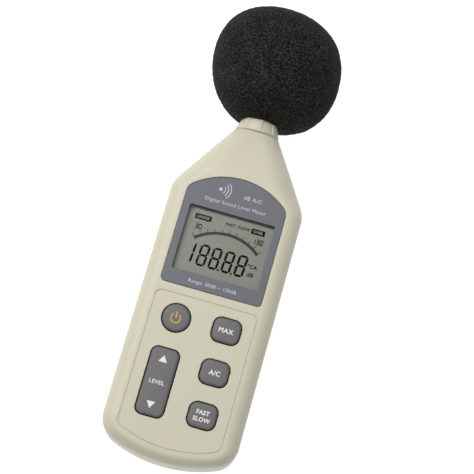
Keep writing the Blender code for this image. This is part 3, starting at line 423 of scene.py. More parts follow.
def rear_case():
    """The rear shell: battery bay, four screw posts, tripod boss and three ports in the left side."""
    skin = Skin()

    def port_at(y, radius):
        angle = np.linspace(0, 2 * np.pi, 40, endpoint=False)

        def loop(inset, grow=MARGIN):
            reach = radius + grow
            ys, zs = y + reach * np.cos(angle), PORT_Z + reach * np.sin(angle)
            return np.column_stack([np.full(40, inset - HALF_WIDTH), ys, zs])

        return loop

    ports = [port_at(y, radius) for y, radius in PORTS]
    back, inside = case_skin(skin, -1, ports)
    for loop in ports:
        skin.grid(np.stack([loop(0.0), loop(0.0, 0.0), loop(WALL, 0.0), loop(WALL)]), True)

    inner = BACK_Z + WALL
    holes, inner_holes = [], []
    for x, y in SCREWS:
        spot = circle(x, y, 0.0, 40)
        post = [(3.5, 0), (3.25, 0.0), (3.2, 0.1), (3.2, 6), (1.8, 6)]
        post += [(1.8, 16.9), (4.2, 16.9), (4.2, 2.2), (4.45, 2.2)]
        skin.grid(sweep(spot, [(r * MM, BACK_Z + z * MM) for r, z in post]), True)
        holes.append(lifted(spot, 3.5 * MM, BACK_Z))
        inner_holes.append(lifted(spot, 4.45 * MM, inner))
    spot = circle(0, at(100), 0.0, 48)
    socket = [(5.05, 0), (4.85, 0), (4.8, 0.08), (4.8, 10.6), (0, 10.6)]
    boss = [(0, 12.6), (6.8, 12.6), (6.8, 2.2), (7.05, 2.2)]
    for profile in (socket, boss):
        skin.grid(sweep(spot, [(r * MM, BACK_Z + z * MM) for r, z in profile]), True)
    holes.append(lifted(spot, 5.05 * MM, BACK_Z))
    inner_holes.append(lifted(spot, 7.05 * MM, inner))

    door_low, door_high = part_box("battery_door")
    middle_y, length = (door_low.y + door_high.y) / 2, door_high.y - door_low.y + 0.6 * MM
    width = door_high.x - door_low.x + 0.6 * MM
    recess = rounded(0, middle_y, width, length, 3 * MM)
    floor = BACK_Z + 1.95 * MM
    ceiling = BACK_Z + 17.9 * MM
    bay_width = width - 1.8 * MM
    bay = rounded(0, middle_y - 0.6 * MM, bay_width, length - 3.8 * MM, 0.6 * MM)
    block = rounded(0, middle_y + 0.1 * MM, bay_width + 3 * MM, length - 0.6 * MM, 1.2 * MM)
    lip = fillet(0.2 * MM, BACK_Z, -1)
    skin.grid(sweep(recess, [(0.2 * MM + MARGIN, BACK_Z)] + lip + [(0, floor), (-MARGIN, floor)]), True)
    skin.flat([lifted(recess, -MARGIN, floor), lifted(bay, 0.1 * MM, floor)])
    skin.grid(sweep(bay, [(0.1 * MM, floor), (0, floor + 0.1 * MM), (0, ceiling)]), True)
    skin.flat([lifted(bay, 0, ceiling)])
    skin.grid(sweep(block, [(0, ceiling + 1.5 * MM), (0, inner), (MARGIN, inner)]), True)
    skin.flat([lifted(block, 0, ceiling + 1.5 * MM)])
    skin.flat([back, lifted(recess, 0.2 * MM + MARGIN, BACK_Z)] + holes)
    skin.flat([inside, lifted(block, MARGIN, inner)] + inner_holes)
    return skin.mesh("rear_shell")


def pillow(loop, centre, profile, crown, rings=10):
    """A closed block: the loop swept down the profile, capped below, with a slightly crowned top.

    The top's rings shrink to the centre, and rise by crown times (1 - s squared).
    """
    skin = Skin()
    rows = sweep(loop, profile)
    skin.grid(rows, True)
    scale = np.linspace(1, 0, rings)[:, None, None]
    top = rows[-1]
    middle = np.array([centre[0], centre[1], top[0, 2]])
    dome = middle + (top - middle) * scale
    dome[..., 2] += crown * (1 - scale[..., 0] ** 2)
    skin.grid(dome, True)
    skin.flat([rows[0]])
    return skin


def key_cap(name):
    """A key: an upright wall inside its opening, then a quarter ellipse of bend by drop, then the top."""
    loop = KEYS[name]
    edge = loop(0)[:, :2]
    centre = (edge.min(0) + edge.max(0)) / 2
    gap, crown, bend, drop = -0.55 * MM, 0.15 * MM, 1.35 * MM, 0.95 * MM
    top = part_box(name)[1].z - crown
    flange_low = INSIDE_Z - 1.6 * MM
    angle = np.linspace(0, np.pi / 2, 9)
    profile = [(gap - 0.4 * MM, flange_low), (gap, flange_low + 0.3 * MM)]
    profile += [(gap - bend * (1 - math.cos(a)), top - drop + drop * math.sin(a)) for a in angle]
    return pillow(loop, centre, profile, crown).mesh(name + "_cap", 60)


def turned(profile, count=96, centre=(0.0, 0.0)):
    """Rings about an axis along Y through centre (x, z); profile lists (y, radius)."""
    angle = np.linspace(0, 2 * np.pi, count, endpoint=False)
    rows = []
    for y, r in profile:
        x, z = centre[0] + r * np.cos(angle), centre[1] + r * np.sin(angle)
        rows.append(np.column_stack([x, np.full(count, y), z]))
    return np.stack(rows)


MIC_BORE = 6.65 * MM


def collar():
    """The ring between case and foam, with axial ribs standing on it.

    Radius = ellipse at the seam blending over the taper to a circle, minus a recess between the
    ribs; each rib is flat on top with straight flanks, in angle.
    """
    seam, top = NECK_Y + 0.55 * MM, collar_high.y
    count = 288
    angle = np.linspace(0, 2 * np.pi, count, endpoint=False)
    ys = np.concatenate([[0, 0.0], np.linspace(0.2, 1.0, 5), np.linspace(1.3, 9.5, 24), [10.5]]) * MM + seam
    ys = np.append(ys, top)
    taper, radius = 6.2 * MM, 10.1 * MM
    share = np.clip((ys - seam) / taper, 0, 1)[:, None]
    across = (NECK_HALF_WIDTH - 0.1 * MM) * (1 - share) + radius * share
    deep = NECK_HALF_DEPTH * (1 - share) + radius * share
    beyond = np.clip((ys - seam - taper) / (top - seam - taper), 0, 1)[:, None]
    across, deep = across - 0.4 * MM * beyond, deep - 0.4 * MM * beyond
    spacing = 2 * np.pi / 8
    away = np.abs((angle - math.radians(86) + spacing / 2) % spacing - spacing / 2)
    rib = np.clip((math.radians(6) - away) / math.radians(1.6), 0, 1)
    above_lip = np.clip((ys - seam - 1.0 * MM) / (0.3 * MM), 0, 1)[:, None]
    sink = 0.5 * MM * above_lip * (1 - rib)
    round_edge = 0.4 * MM * np.clip(1 - (ys - seam) / (0.4 * MM), 0, 1)[:, None]
    xs = (across - sink - round_edge) * np.cos(angle)
    zs = (deep - sink - round_edge) * np.sin(angle)
    fall = np.clip(1 - (ys - seam) / (4 * MM), 0, 1)[:, None]
    lowered = ys[:, None] - SEAM_DIP * np.sin(angle) ** 2 * fall
    rows = np.stack([xs, lowered, MID_Z + zs], -1)
    skin = Skin()
    skin.grid(rows, True)
    low = collar_low.y
    spigot_x, spigot_z = 9.2 * MM, 8.25 * MM
    unit = np.stack([np.cos(angle), np.sin(angle)], -1)

    def ring(y, rx, rz):
        return np.column_stack([rx * unit[:, 0], np.full(count, y), MID_Z + rz * unit[:, 1]])

    bore = [ring(y, MIC_BORE, MIC_BORE) for y in (top, low)]
    end = ring(low, spigot_x, spigot_z)
    skin.grid(np.stack([rows[-1], *bore, end]), True)
    skin.grid(np.stack([end, ring(seam, spigot_x, spigot_z), rows[0]]), True)
    return skin.mesh("ribbed_collar", 40)


class Grain:
    """Smooth random values in space: a seeded lattice read with eased trilinear blending."""

    def __init__(self, seed, size=24):
        self.size = size
        self.lattice = np.random.default_rng(seed).random((size, size, size)) * 2 - 1

    def __call__(self, points, scale):
        place = points / scale
        cell = np.floor(place).astype(int)
        ease = place - cell
        ease = ease * ease * (3 - 2 * ease)
        total = 0
        for corner in np.ndindex(2, 2, 2):
            weight = np.prod(np.where(corner, ease, 1 - ease), -1)
            index = (cell + corner) % self.size
            total = total + weight * self.lattice[index[..., 0], index[..., 1], index[..., 2]]
        return total


# How the soft ball has set out of round: waves round it, size in millimetres, phase in degrees
FOAM_WAVES = ((0, 0.2, 0), (1, 0.5, -11), (2, 1.0, -88), (3, 0.5, 88), (4, 0.2, -150))


def windscreen():
    """The foam ball: a squared-off circle turned about Y, roughened by grain at three scales.

    Radius across is a |sin t|^p and along the axis b |cos t|^p. The surface then moves out by the
    grain and by the sum of size cos(waves u - phase) over FOAM_WAVES, where u is the angle round
    the middle in the face's plane; that sum fades to nothing at the front, the back and the mouth.
    The bore steps from the collar's radius to the microphone's.
    """
    a, b, power = foam_high.x, 33.6 * MM, 2 / 2.15
    centre_y = foam_high.y - b
    mouth, around = 10.4 * MM, 430
    start = math.asin((mouth / a) ** (1 / power))
    t = np.linspace(start, np.pi - 0.02, 215)
    across = a * np.sin(t) ** power
    along = centre_y - np.sign(np.cos(t)) * b * np.abs(np.cos(t)) ** power
    rows = turned(list(zip(along, across)), around, (0.0, MID_Z))
    middle = np.array([0, centre_y, MID_Z])
    out = (rows - middle) / np.linalg.norm(rows - middle, axis=-1, keepdims=True)
    grain = Grain(11)
    bumps = 0.16 * grain(rows, 1.7 * MM) + 0.10 * grain(rows + 0.5, 1.0 * MM) + 0.25 * grain(rows, 14 * MM)
    soft = np.clip((t - start) / 0.06, 0, 1)[:, None]
    turn = np.arctan2(out[..., 1], out[..., 0])
    squash = 0.0
    for waves, size, phase in FOAM_WAVES:
        squash = squash + size * np.cos(waves * turn - math.radians(phase))
    squash = squash * (1 - out[..., 2] ** 2) * np.clip((t - start) / 0.5, 0, 1)[:, None]
    rows = rows + out * (((bumps - 0.30) * soft + squash) * MM)[..., None]
    skin = Skin()
    skin.grid(rows, True)
    tip = rows[-1].mean(0) + np.array([0, 0.05 * MM, 0])
    skin.grid(np.stack([rows[-1], np.tile(tip, (around, 1))]), True)
    step_y = collar_high.y + 0.3 * MM
    end_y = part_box("mic_grid")[1].y + 3 * MM
    bore = [(along[0], across[0]), (along[0] + 0.4 * MM, mouth), (step_y, mouth)]
    bore += [(step_y, MIC_BORE), (end_y, MIC_BORE), (end_y, 0)]
    inner = turned(bore, around, (0.0, MID_Z))
    inner[0] = rows[0]
    skin.grid(inner, True)
    return skin.mesh("foam_ball", 80)


# ---- finishes


class Wire:
    """A socket in a formula: each operator adds one Math node."""

    def __init__(self, finish, socket):
        self.finish, self.socket = finish, socket

    def math(self, operation, other):
        return self.finish.node("ShaderNodeMath", {"operation": operation}, {0: self, 1: other})

    def __add__(self, other):
        return self.math("ADD", other)

    def __mul__(self, other):
        return self.math("MULTIPLY", other)


class Finish:
    """A material with a Principled shader and the nodes that feed it."""

    def __init__(self, name, colour, roughness, metallic=0.0, **sockets):
        self.material = bpy.data.materials.new(name)
        self.material.use_nodes = True
        self.tree = self.material.node_tree
        self.shader = self.tree.nodes["Principled BSDF"]
        self.set("Base Color", (*colour, 1.0))
        self.set("Roughness", roughness)
        self.set("Metallic", metallic)
        for socket, value in sockets.items():
            self.set(socket.replace("_", " "), value)
        self.material.diffuse_color = (*colour, 1.0)
        self.place = self.node("ShaderNodeTexCoord", {}, {}, "Object")

    def feed(self, socket, value):
        """Links a wire to a socket, or gives the socket a value."""
        if isinstance(value, Wire):
            self.tree.links.new(value.socket, socket)
        else:
            socket.default_value = value

    def set(self, socket, value):
        self.feed(self.shader.inputs[socket], value)

    def node(self, kind, settings, inputs, output=0):
        """Adds a node: its settings first, then the values or links of its sockets."""
        made = self.tree.nodes.new(kind)
        for name, value in settings.items():
            if name == "stops":
                ramp = made.color_ramp
                for index, (position, colour) in enumerate(value):
                    stop = ramp.elements[index] if index < 2 else ramp.elements.new(position)
                    stop.position, stop.color = position, (*colour, 1.0)
            else:
                setattr(made, name, value)
        for name, value in inputs.items():
            self.feed(made.inputs[name], value)
        return Wire(self, made.outputs[output])

    def noise(self, size, detail=3.0, roughness=0.5):
        """Noise from 0 to 1 with features of about size metres."""
        inputs = {"Vector": self.place, "Scale": 1 / size, "Detail": detail, "Roughness": roughness}
        return self.node("ShaderNodeTexNoise", {}, inputs)

    def cells(self, size):
        inputs = {"Vector": self.place, "Scale": 1 / size}
        return self.node("ShaderNodeTexVoronoi", {"feature": "F1"}, inputs)

    def ramp(self, value, stops):
        return self.node("ShaderNodeValToRGB", {"stops": stops}, {"Fac": value})

    def mix(self, share, low, high):
        made = self.tree.nodes.new("ShaderNodeMix")
        made.data_type = "RGBA"
        for index, value in ((0, share), (6, low), (7, high)):
            self.feed(made.inputs[index], (*value, 1.0) if isinstance(value, tuple) else value)
        return Wire(self, made.outputs[2])

    def bump(self, height, distance, strength=1.0):
        inputs = {"Height": height, "Distance": distance, "Strength": strength}
        self.set("Normal", self.node("ShaderNodeBump", {}, inputs))


def moulded(name, colour, roughness, grain=0.22 * MM, depth=0.012 * MM, shift=0.04):
    """Spark-textured moulded plastic: fine grain, and slow drifts of tone and gloss."""
    finish = Finish(name, colour, roughness, Specular_IOR_Level=0.4)
    drift = finish.noise(30 * MM, 2.0)
    fine = finish.noise(grain, 2.0)
    low = tuple(c * (1 - shift) for c in colour)
    high = tuple(min(1.0, c * (1 + shift)) for c in colour)
    finish.set("Base Color", finish.mix(drift * 0.6 + fine * 0.4, low, high))
    finish.set("Roughness", fine * 0.12 + drift * 0.08 + (roughness - 0.1))
    finish.bump(fine, depth)
    return finish.material


def foam_finish():
    """Open-cell foam: paler grains on black in slow patches, pits in the bump and a slight sheen."""
    sheen = {"Sheen_Weight": 0.03, "Sheen_Roughness": 0.4}
    finish = Finish("black_foam", (0.012, 0.012, 0.012), 0.95, Specular_IOR_Level=0.05, **sheen)
    pits = finish.cells(0.9 * MM)
    speckle = finish.noise(0.85 * MM, 3.0, 0.7)
    patches = finish.noise(9 * MM, 2.0)
    stops = [(0.44, (0, 0, 0)), (0.56, (0.22, 0.22, 0.22)), (0.72, (1, 1, 1))]
    share = finish.ramp(speckle + patches * 0.12, stops)
    finish.set("Base Color", finish.mix(share, (0.003, 0.003, 0.003), (0.060, 0.060, 0.056)))
    finish.bump(pits + speckle, 0.4 * MM, 0.9)
    return finish.material


def metal(name, colour, roughness):
    """Machined metal: fine streaks in the gloss."""
    finish = Finish(name, colour, roughness, 1.0)
    streak = finish.noise(0.15 * MM, 2.0)
    finish.set("Roughness", streak * 0.2 + (roughness - 0.1))
    finish.bump(streak, 0.003 * MM)
    return finish.material


def lcd_finish(name, colour, gloss=0.3):
    """Reflective display film: faint mottling."""
    finish = Finish(name, colour, 0.35, Specular_IOR_Level=gloss)
    mottle = finish.noise(6 * MM, 2.0)
    high = tuple(c * 1.06 for c in colour)
    finish.set("Base Color", finish.mix(mottle, colour, high))
    return finish.material


def clear_finish():
    finish = Finish("clear_acrylic", (0.03, 0.03, 0.03), 0.08, Alpha=0.04)
    smear = finish.noise(8 * MM, 2.0)
    finish.set("Roughness", smear * 0.05 + 0.05)
    return finish.material


IVORY = moulded("ivory_plastic", (0.60, 0.575, 0.445), 0.44)
SLATE = moulded("slate_overlay", (0.120, 0.128, 0.148), 0.42, 0.3 * MM, 0.004 * MM, 0.05)
KEY_GREY = moulded("key_silicone", (0.138, 0.132, 0.132), 0.48, 0.18 * MM, 0.012 * MM, 0.06)
WHITE_INK = moulded("white_ink", (0.80, 0.80, 0.80), 0.5, 0.3 * MM, 0.002 * MM, 0.02)
PALE_INK = moulded("pale_ink", (0.52, 0.56, 0.60), 0.5, 0.3 * MM, 0.002 * MM, 0.04)
AMBER_INK = moulded("amber_ink", (0.62, 0.34, 0.06), 0.5, 0.3 * MM, 0.002 * MM, 0.1)
WHITE_PLASTIC = moulded("white_plastic", (0.6, 0.6, 0.57), 0.5)
BLACK_PLASTIC = moulded("black_plastic", (0.02, 0.02, 0.021), 0.45)
BLUE_PLASTIC = moulded("blue_plastic", (0.03, 0.1, 0.4), 0.4)
BOARD_GREEN = moulded("solder_mask", (0.015, 0.14, 0.06), 0.35, 0.6 * MM, 0.01 * MM, 0.15)
RUBBER = moulded("conductive_rubber", (0.03, 0.03, 0.03), 0.8)
SLEEVE = moulded("cell_sleeve", (0.03, 0.05, 0.11), 0.3, 1 * MM, 0.002 * MM, 0.05)
SLEEVE_GOLD = metal("cell_sleeve_band", (0.75, 0.5, 0.2), 0.35)
STEEL = metal("plated_steel", (0.62, 0.62, 0.61), 0.32)
BRASS = metal("turned_brass", (0.72, 0.52, 0.22), 0.3)
FOAM = foam_finish()
LCD = lcd_finish("lcd_background", (0.265, 0.275, 0.235))
LCD_FILM = lcd_finish("lcd_film", (0.235, 0.247, 0.205))
SEGMENT = lcd_finish("lcd_segment", (0.003, 0.0035, 0.002), 0.0)
FAINT = lcd_finish("lcd_grey_segment", (0.040, 0.043, 0.034), 0.1)
CLEAR = clear_finish()


# ---- printing


def slab(loops, z, thick=0.03 * MM):
    """Flat outlines given a small thickness above z, joined into one mesh."""
    skin = Skin()
    for loop in loops:
        low = np.column_stack([loop, np.full(len(loop), z)])
        high = low + (0, 0, thick)
        skin.grid(np.stack([low, high]), True)
        skin.flat([low])
        skin.flat([high])
    return skin


SHIFT_STEP = 0.001 * MM


def words(text, size, x, y, z, bold=0.0, spread=1.0, thick=0.03 * MM):
    """Lettering as a mesh, with capitals size high, centred on (x, y)."""
    curve = bpy.data.curves.new("lettering", "FONT")
    curve.body = text
    curve.align_x, curve.align_y = "CENTER", "CENTER"
    curve.size = size / 0.70
    shifts = [(0, 0)]
    if "M" in text:
        # The outline of an M can't be offset without filling its notch, so copies are shifted instead
        shifts = [(-bold, -bold), (bold, -bold), (bold, bold), (-bold, bold)]
    else:
        curve.offset = bold
    curve.extrude = thick / 2
    curve.space_character = spread
    curve.resolution_u = 4
    helper = linked("lettering", curve)
    bpy.context.view_layer.update()
    mesh = bpy.data.meshes.new_from_object(helper.evaluated_get(bpy.context.evaluated_depsgraph_get()))
    bpy.data.objects.remove(helper)
    corners = np.array([v.co for v in mesh.vertices])
    middle = (corners.min(0) + corners.max(0)) / 2
    mesh.materials.clear()
    work = bmesh.new()
    for index, (across, along) in enumerate(shifts):
        copy = mesh.copy()
        place = (x - middle[0] + across, y - middle[1] + along, z + thick / 2 + index * SHIFT_STEP)
        copy.transform(Matrix.Translation(place))
        work.from_mesh(copy)
        bpy.data.meshes.remove(copy)
    work.to_mesh(mesh)
    work.free()
    return mesh


def band(x, y, inner, outer, start, end, count=40):
    """Outline of part of a ring, angles in degrees."""
    angle = np.radians(np.linspace(start, end, count))
    unit = np.stack([np.cos(angle), np.sin(angle)], -1)
    return np.vstack([unit * outer, unit[::-1] * inner]) + (x, y)


def bar(x0, y0, x1, y1, half):
    """Outline of a straight bar with pointed ends, as a display segment has."""
    start, end = np.array([x0, y0]), np.array([x1, y1])
    along = (end - start) / np.linalg.norm(end - start)
    side = np.array([-along[1], along[0]]) * half
    tip = along * half
    return np.array([start, start + tip - side, end - tip - side, end, end - tip + side, start + tip + side])


def digit(x, y, width, height, half, lit="abcdefg", slant=0.07):
    """Outlines of a seven-segment digit whose lower left corner is (x, y)."""
    gap = 0.15 * half
    low, middle, high = half, height / 2, height - half
    left, right = half, width - half
    bars = {
        "a": (left + gap, high, right - gap, high),
        "b": (right, high - gap, right, middle + gap),
        "c": (right, middle - gap, right, low + gap),
        "d": (left + gap, low, right - gap, low),
        "e": (left, middle - gap, left, low + gap),
        "f": (left, high - gap, left, middle + gap),
        "g": (left + gap, middle, right - gap, middle),
    }
    loops = []
    for name in lit:
        loop = bar(*bars[name], half)
        loop[:, 0] += loop[:, 1] * slant
        loops.append(loop + (x, y))
    return loops


def box_outline(x0, y0, x1, y1):
    return np.array([(x0, y0), (x1, y0), (x1, y1), (x0, y1)])


def triangle(x, y, half, height):
    return np.array([(x - half, y - height / 2), (x + half, y - height / 2), (x, y + height / 2)])


def label(name, mesh, body, finish):
    return piece(name, mesh, body, finish)


def key_legends():
    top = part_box("max_key")[1].z + 0.01 * MM
    for name, text, size, x, y, bold, spread, key in (
        ("max_legend", "MAX", 2.4, 12.8, 70.9, 0.06, 1.08, "max_key"),
        ("weighting_legend", "A/C", 2.35, 13, 48.9, 0.09, 1.05, "weighting_key"),
        ("fast_legend", "FAST", 2.1, 12.9, 28.5, 0.09, 1.05, "response_key"),
        ("slow_legend", "SLOW", 2.1, 13, 25.0, 0.09, 1.05, "response_key"),
        ("level_legend", "LEVEL", 1.95, -13.3, 36.9, 0.05, 1.1, "level_key"),
    ):
        mesh = words(text, size * MM, x * MM, at(y), top, bold * MM, spread)
        label(name, mesh, key, WHITE_INK)
    x = -13.3 * MM
    for name, y, height in (("up_arrow", 48.9, 3.5), ("down_arrow", 25.3, -3.5)):
        arrow = triangle(x, at(y), 2.2 * MM, height * MM)
        label(name, slab([arrow], top).mesh(name), "level_key", WHITE_INK)
    x, y = -13.2 * MM, at(70.2)
    ring = band(x, y, 2.05 * MM, 2.75 * MM, 125, 415)
    stem = box_outline(x - 0.36 * MM, y + 0.2 * MM, x + 0.36 * MM, y + 3.5 * MM)
    label("power_symbol", slab([ring, stem], top).mesh("power_symbol"), "power_key", AMBER_INK)


def panel_printing():
    top = panel_high.z + 0.01 * MM

    def printed(name, mesh):
        label(name, mesh, "case", PALE_INK)

    title = "Digital Sound Level Meter"
    printed("panel_title", words(title, 1.9 * MM, 0, at(134.8), top, 0.012 * MM, 1.12))
    limits = "Range: 30dB ~ 130dB"
    printed("range_legend", words(limits, 1.8 * MM, 0, at(90.9), top, 0.025 * MM, 1.12))
    x, y = -9.6 * MM, at(141.6)
    waves = [band(x, y, r * MM, (r + 0.45) * MM, -48, 48) for r in (2.2, 3.7, 5.2)]
    waves.append(band(x, y, 0.0, 0.9 * MM, 0, 360))
    printed("wave_symbol", slab(waves, top).mesh("wave_symbol"))
    printed("unit_mark", words("dB A/C", 2.0 * MM, 7.9 * MM, at(140.6), top, 0.03 * MM, 1.15))


def display_artwork():
    """Everything lit on the display: digits, bar scale and small legends."""
    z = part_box("window_lens")[1].z - WINDOW_THICKNESS - 0.1 * MM
    middle = (1.6 * MM, at(111.7))
    film = rounded(*middle, 42.4 * MM, 34.2 * MM, 0.5 * MM)
    edge = [(0, glass_high.z + 0.02 * MM), (0, z - 0.03 * MM), (-0.04 * MM, z)]
    plate = pillow(film, middle, edge, 0.0, 3)
    label("display_film", plate.mesh("display_film"), "case", LCD_FILM)
    z += 0.01 * MM

    def lit(name, loops, finish=SEGMENT):
        label(name, slab(loops, z).mesh(name), "case", finish)

    stroke = 0.6 * MM
    base_y, height = at(99.9), 11.7 * MM
    big = digit(-19.0 * MM, base_y, 4.9 * MM, height, stroke, "bc")
    for x in (-12.0, -5.5, 1.3, 8.1):
        big += digit(x * MM, base_y, 5.1 * MM, height, stroke)
    for x in (0.35, 7.15):
        big.append(box_outline((x - 0.5) * MM, base_y, (x + 0.5) * MM, at(100.9)))
    lit("main_reading", big)

    small = []
    for x, y, bars in (
        (-17.5, 118.3, "abcdg"),
        (-15.5, 118.3, "abcdef"),
        (13.1, 118.5, "bc"),
        (15.0, 118.5, "abcdg"),
        (17.0, 118.5, "abcdef"),
    ):
        small += digit(x * MM, at(y), 1.75 * MM, 3.2 * MM, 0.3 * MM, bars)
    centre = (0.8 * MM, at(93.6))
    inner, outer = 25.2 * MM, 26.8 * MM
    for angle in np.linspace(50.5, 129.5, 11):
        unit = np.array([math.cos(math.radians(angle)), math.sin(math.radians(angle))])
        reach = outer + (1.9 if round(angle) in (50, 51, 90, 129, 130) else 1.5) * MM
        base, tip = centre + unit * (outer - 0.1 * MM), centre + unit * reach
        side = np.array([-unit[1], unit[0]]) * 0.17 * MM
        small.append(np.array([base - side, tip - side, tip + side, base + side]))
    lit("scale_marks", small)
    lit("bar_scale", [band(*centre, inner, outer, 49.8, 130.2, 60)], FAINT)

    ends = ((-18.5, -9.9), (11.3, 18.5))
    boxes = [box_outline(x0 * MM, at(123.6), x1 * MM, at(126.5)) for x0, x1 in ends]
    lit("flag_boxes", boxes)
    above = z + 0.04 * MM
    for name, text, size, x, y, height, finish in (
        ("under_flag", "UNDER", 1.35, -14.2, 125.05, above, LCD_FILM),
        ("over_flag", "OVER", 1.35, 14.9, 125.05, above, LCD_FILM),
        ("response_flag", "FAST  SLOW", 1.5, 4.2, 125.1, z, SEGMENT),
        ("degree_flag", "°CA", 1.9, 16.9, 106.8, z, SEGMENT),
        ("decibel_flag", "dB", 2.1, 16.7, 102.5, z, SEGMENT),
    ):
        label(name, words(text, size * MM, x * MM, at(y), height, 0.07 * MM, 1.08), "case", finish)


# ---- assembly


def display_panel():
    """The overlay: the arched plate with rounded rims round its outside and its window."""
    skin = Skin()
    low, high = panel_low.z, panel_high.z
    edge = 0.15 * MM
    gap = -0.3 * MM
    outside = [(gap - edge, low), (gap, low), (gap, high - edge), (gap - 0.3 * edge, high - 0.3 * edge)]
    outside += [(gap - edge, high), (gap - edge - MARGIN, high)]
    skin.grid(sweep(PANEL, outside), True)
    hole = [(edge, low), (0, low), (0, high - edge), (0.3 * edge, high - 0.3 * edge)]
    hole += [(edge, high), (edge + MARGIN, high)]
    skin.grid(sweep(WINDOW, hole), True)
    skin.flat([lifted(PANEL, gap - edge - MARGIN, high), lifted(WINDOW, edge + MARGIN, high)])
    skin.flat([lifted(PANEL, gap - edge, low), lifted(WINDOW, edge, low)])
    return skin.mesh("overlay", 60)


WINDOW_THICKNESS = 0.5 * MM


def window_pane():
    """The clear window: a thin rounded plate let into the overlay."""
    low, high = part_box("window_lens")
    middle = ((low.x + high.x) / 2, (low.y + high.y) / 2)
    loop = rounded(*middle, high.x - low.x, high.y - low.y, 1.0 * MM)
    base = high.z - WINDOW_THICKNESS
    profile = [(0, base), (0, high.z - 0.1 * MM), (-0.1 * MM, high.z)]
    return pillow(loop, middle, profile, 0.0, 3).mesh("window_pane")


def battery_door():
    """The door: a rounded plate with five grip slots pressed in, each shorter than the last."""
    low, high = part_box("battery_door")
    y = (low.y + high.y) / 2
    loop = rounded(0, y, high.x - low.x, high.y - low.y, 2.7 * MM)
    profile = [(-0.1 * MM, high.z), (0, high.z - 0.1 * MM), (0, low.z + 0.3 * MM)]
    profile += [(-0.09 * MM, low.z + 0.09 * MM), (-0.3 * MM, low.z)]
    skin = Skin()
    skin.grid(sweep(loop, profile + [(-0.3 * MM - MARGIN, low.z)]), True)
    skin.flat([lifted(loop, -0.1 * MM, high.z)])
    holes = []
    for index in range(5):
        slot = rounded(0, high.y - (4.5 + 2.2 * index) * MM, (22 - 2.5 * index) * MM, 1.1 * MM, 0.5 * MM, 6)
        steps = ((0.2, 0), (0.05, 0), (-0.05, 0.1), (-0.35, 0.4), (-0.5, 0.42))
        skin.grid(sweep(slot, [(grow * MM, low.z + rise * MM) for grow, rise in steps]), True)
        skin.flat([lifted(slot, -0.5 * MM, low.z + 0.42 * MM)])
        holes.append(lifted(slot, 0.2 * MM, low.z))
    skin.flat([lifted(loop, -0.3 * MM - MARGIN, low.z)] + holes)
    return skin.mesh("door_plate", 50)


def lathe(name, profile, centre, count=96, sharp=35):
    skin = Skin()
    skin.grid(turned(profile, count, centre), True)
    return skin.mesh(name, sharp)


def microphone():
    low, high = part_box("mic_tube")
    r = high.x
    inner = r - 1.1 * MM
    bend = 0.15 * MM
    end = high.y
    tube = [(low.y, inner), (low.y, r), (end - 8 * MM, r), (end - 7.8 * MM, r - bend)]
    tube += [(end - 7.3 * MM, r - bend), (end - 7.1 * MM, r), (end - bend, r)]
    tube += [(end, r - bend), (end, inner), (low.y, inner)]
    centre = (0.0, MID_Z)
    mesh = lathe("microphone_tube", tube, centre)
    piece("microphone_tube", mesh, "case", BLACK_PLASTIC, ["mic_tube"])
    low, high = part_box("mic_capsule")
    can = [(low.y, 0), (low.y, r - bend), (low.y + bend, r)]
    for index in range(7):
        y = low.y + (0.9 + 0.6 * index) * MM
        can += [(y, r), (y + 0.12 * MM, r - 0.12 * MM), (y + 0.3 * MM, r - 0.12 * MM), (y + 0.42 * MM, r)]
    can += [(high.y - bend, r), (high.y, r - bend), (high.y, 0)]
    piece("capsule_can", lathe("capsule_can", can, centre), "case", STEEL, ["mic_capsule"])


def protection_grid():
    """The slotted cap over the capsule: rings of holes in its flat top."""
    low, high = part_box("mic_grid")
    r = high.x
    top = high.y
    skin = Skin()
    edge = 0.5 * MM
    angle = np.linspace(0, np.pi / 2, 7)
    rim = [(low.y, r - 1.1 * MM), (low.y, r)]
    rim += [(top - edge + edge * math.sin(a), r - edge + edge * math.cos(a)) for a in angle]
    rim.append((top, r - edge - 0.2 * MM))
    over = turned(rim, 96, (0.0, MID_Z))
    skin.grid(over, True)
    under = turned([(low.y, r - 1.1 * MM), (top - 1 * MM, r - 1.1 * MM)], 96, (0.0, MID_Z))
    skin.grid(under, True)
    face = [over[-1]]
    back = [under[-1]]
    places = [(0.0, 0.0)] + [(2.0, a) for a in range(0, 360, 60)] + [(4.1, a) for a in range(15, 375, 30)]
    for reach, turn in places:
        x = reach * MM * math.cos(math.radians(turn))
        z = MID_Z + reach * MM * math.sin(math.radians(turn))
        hole = turned([(top, 0.72 * MM), (top - 0.08 * MM, 0.62 * MM), (top - 1 * MM, 0.62 * MM)], 18, (x, z))
        skin.grid(hole, True)
        face.append(hole[0])
        back.append(hole[-1])
    skin.flat(face)
    skin.flat(back)
    return skin.mesh("protection_grid", 40)


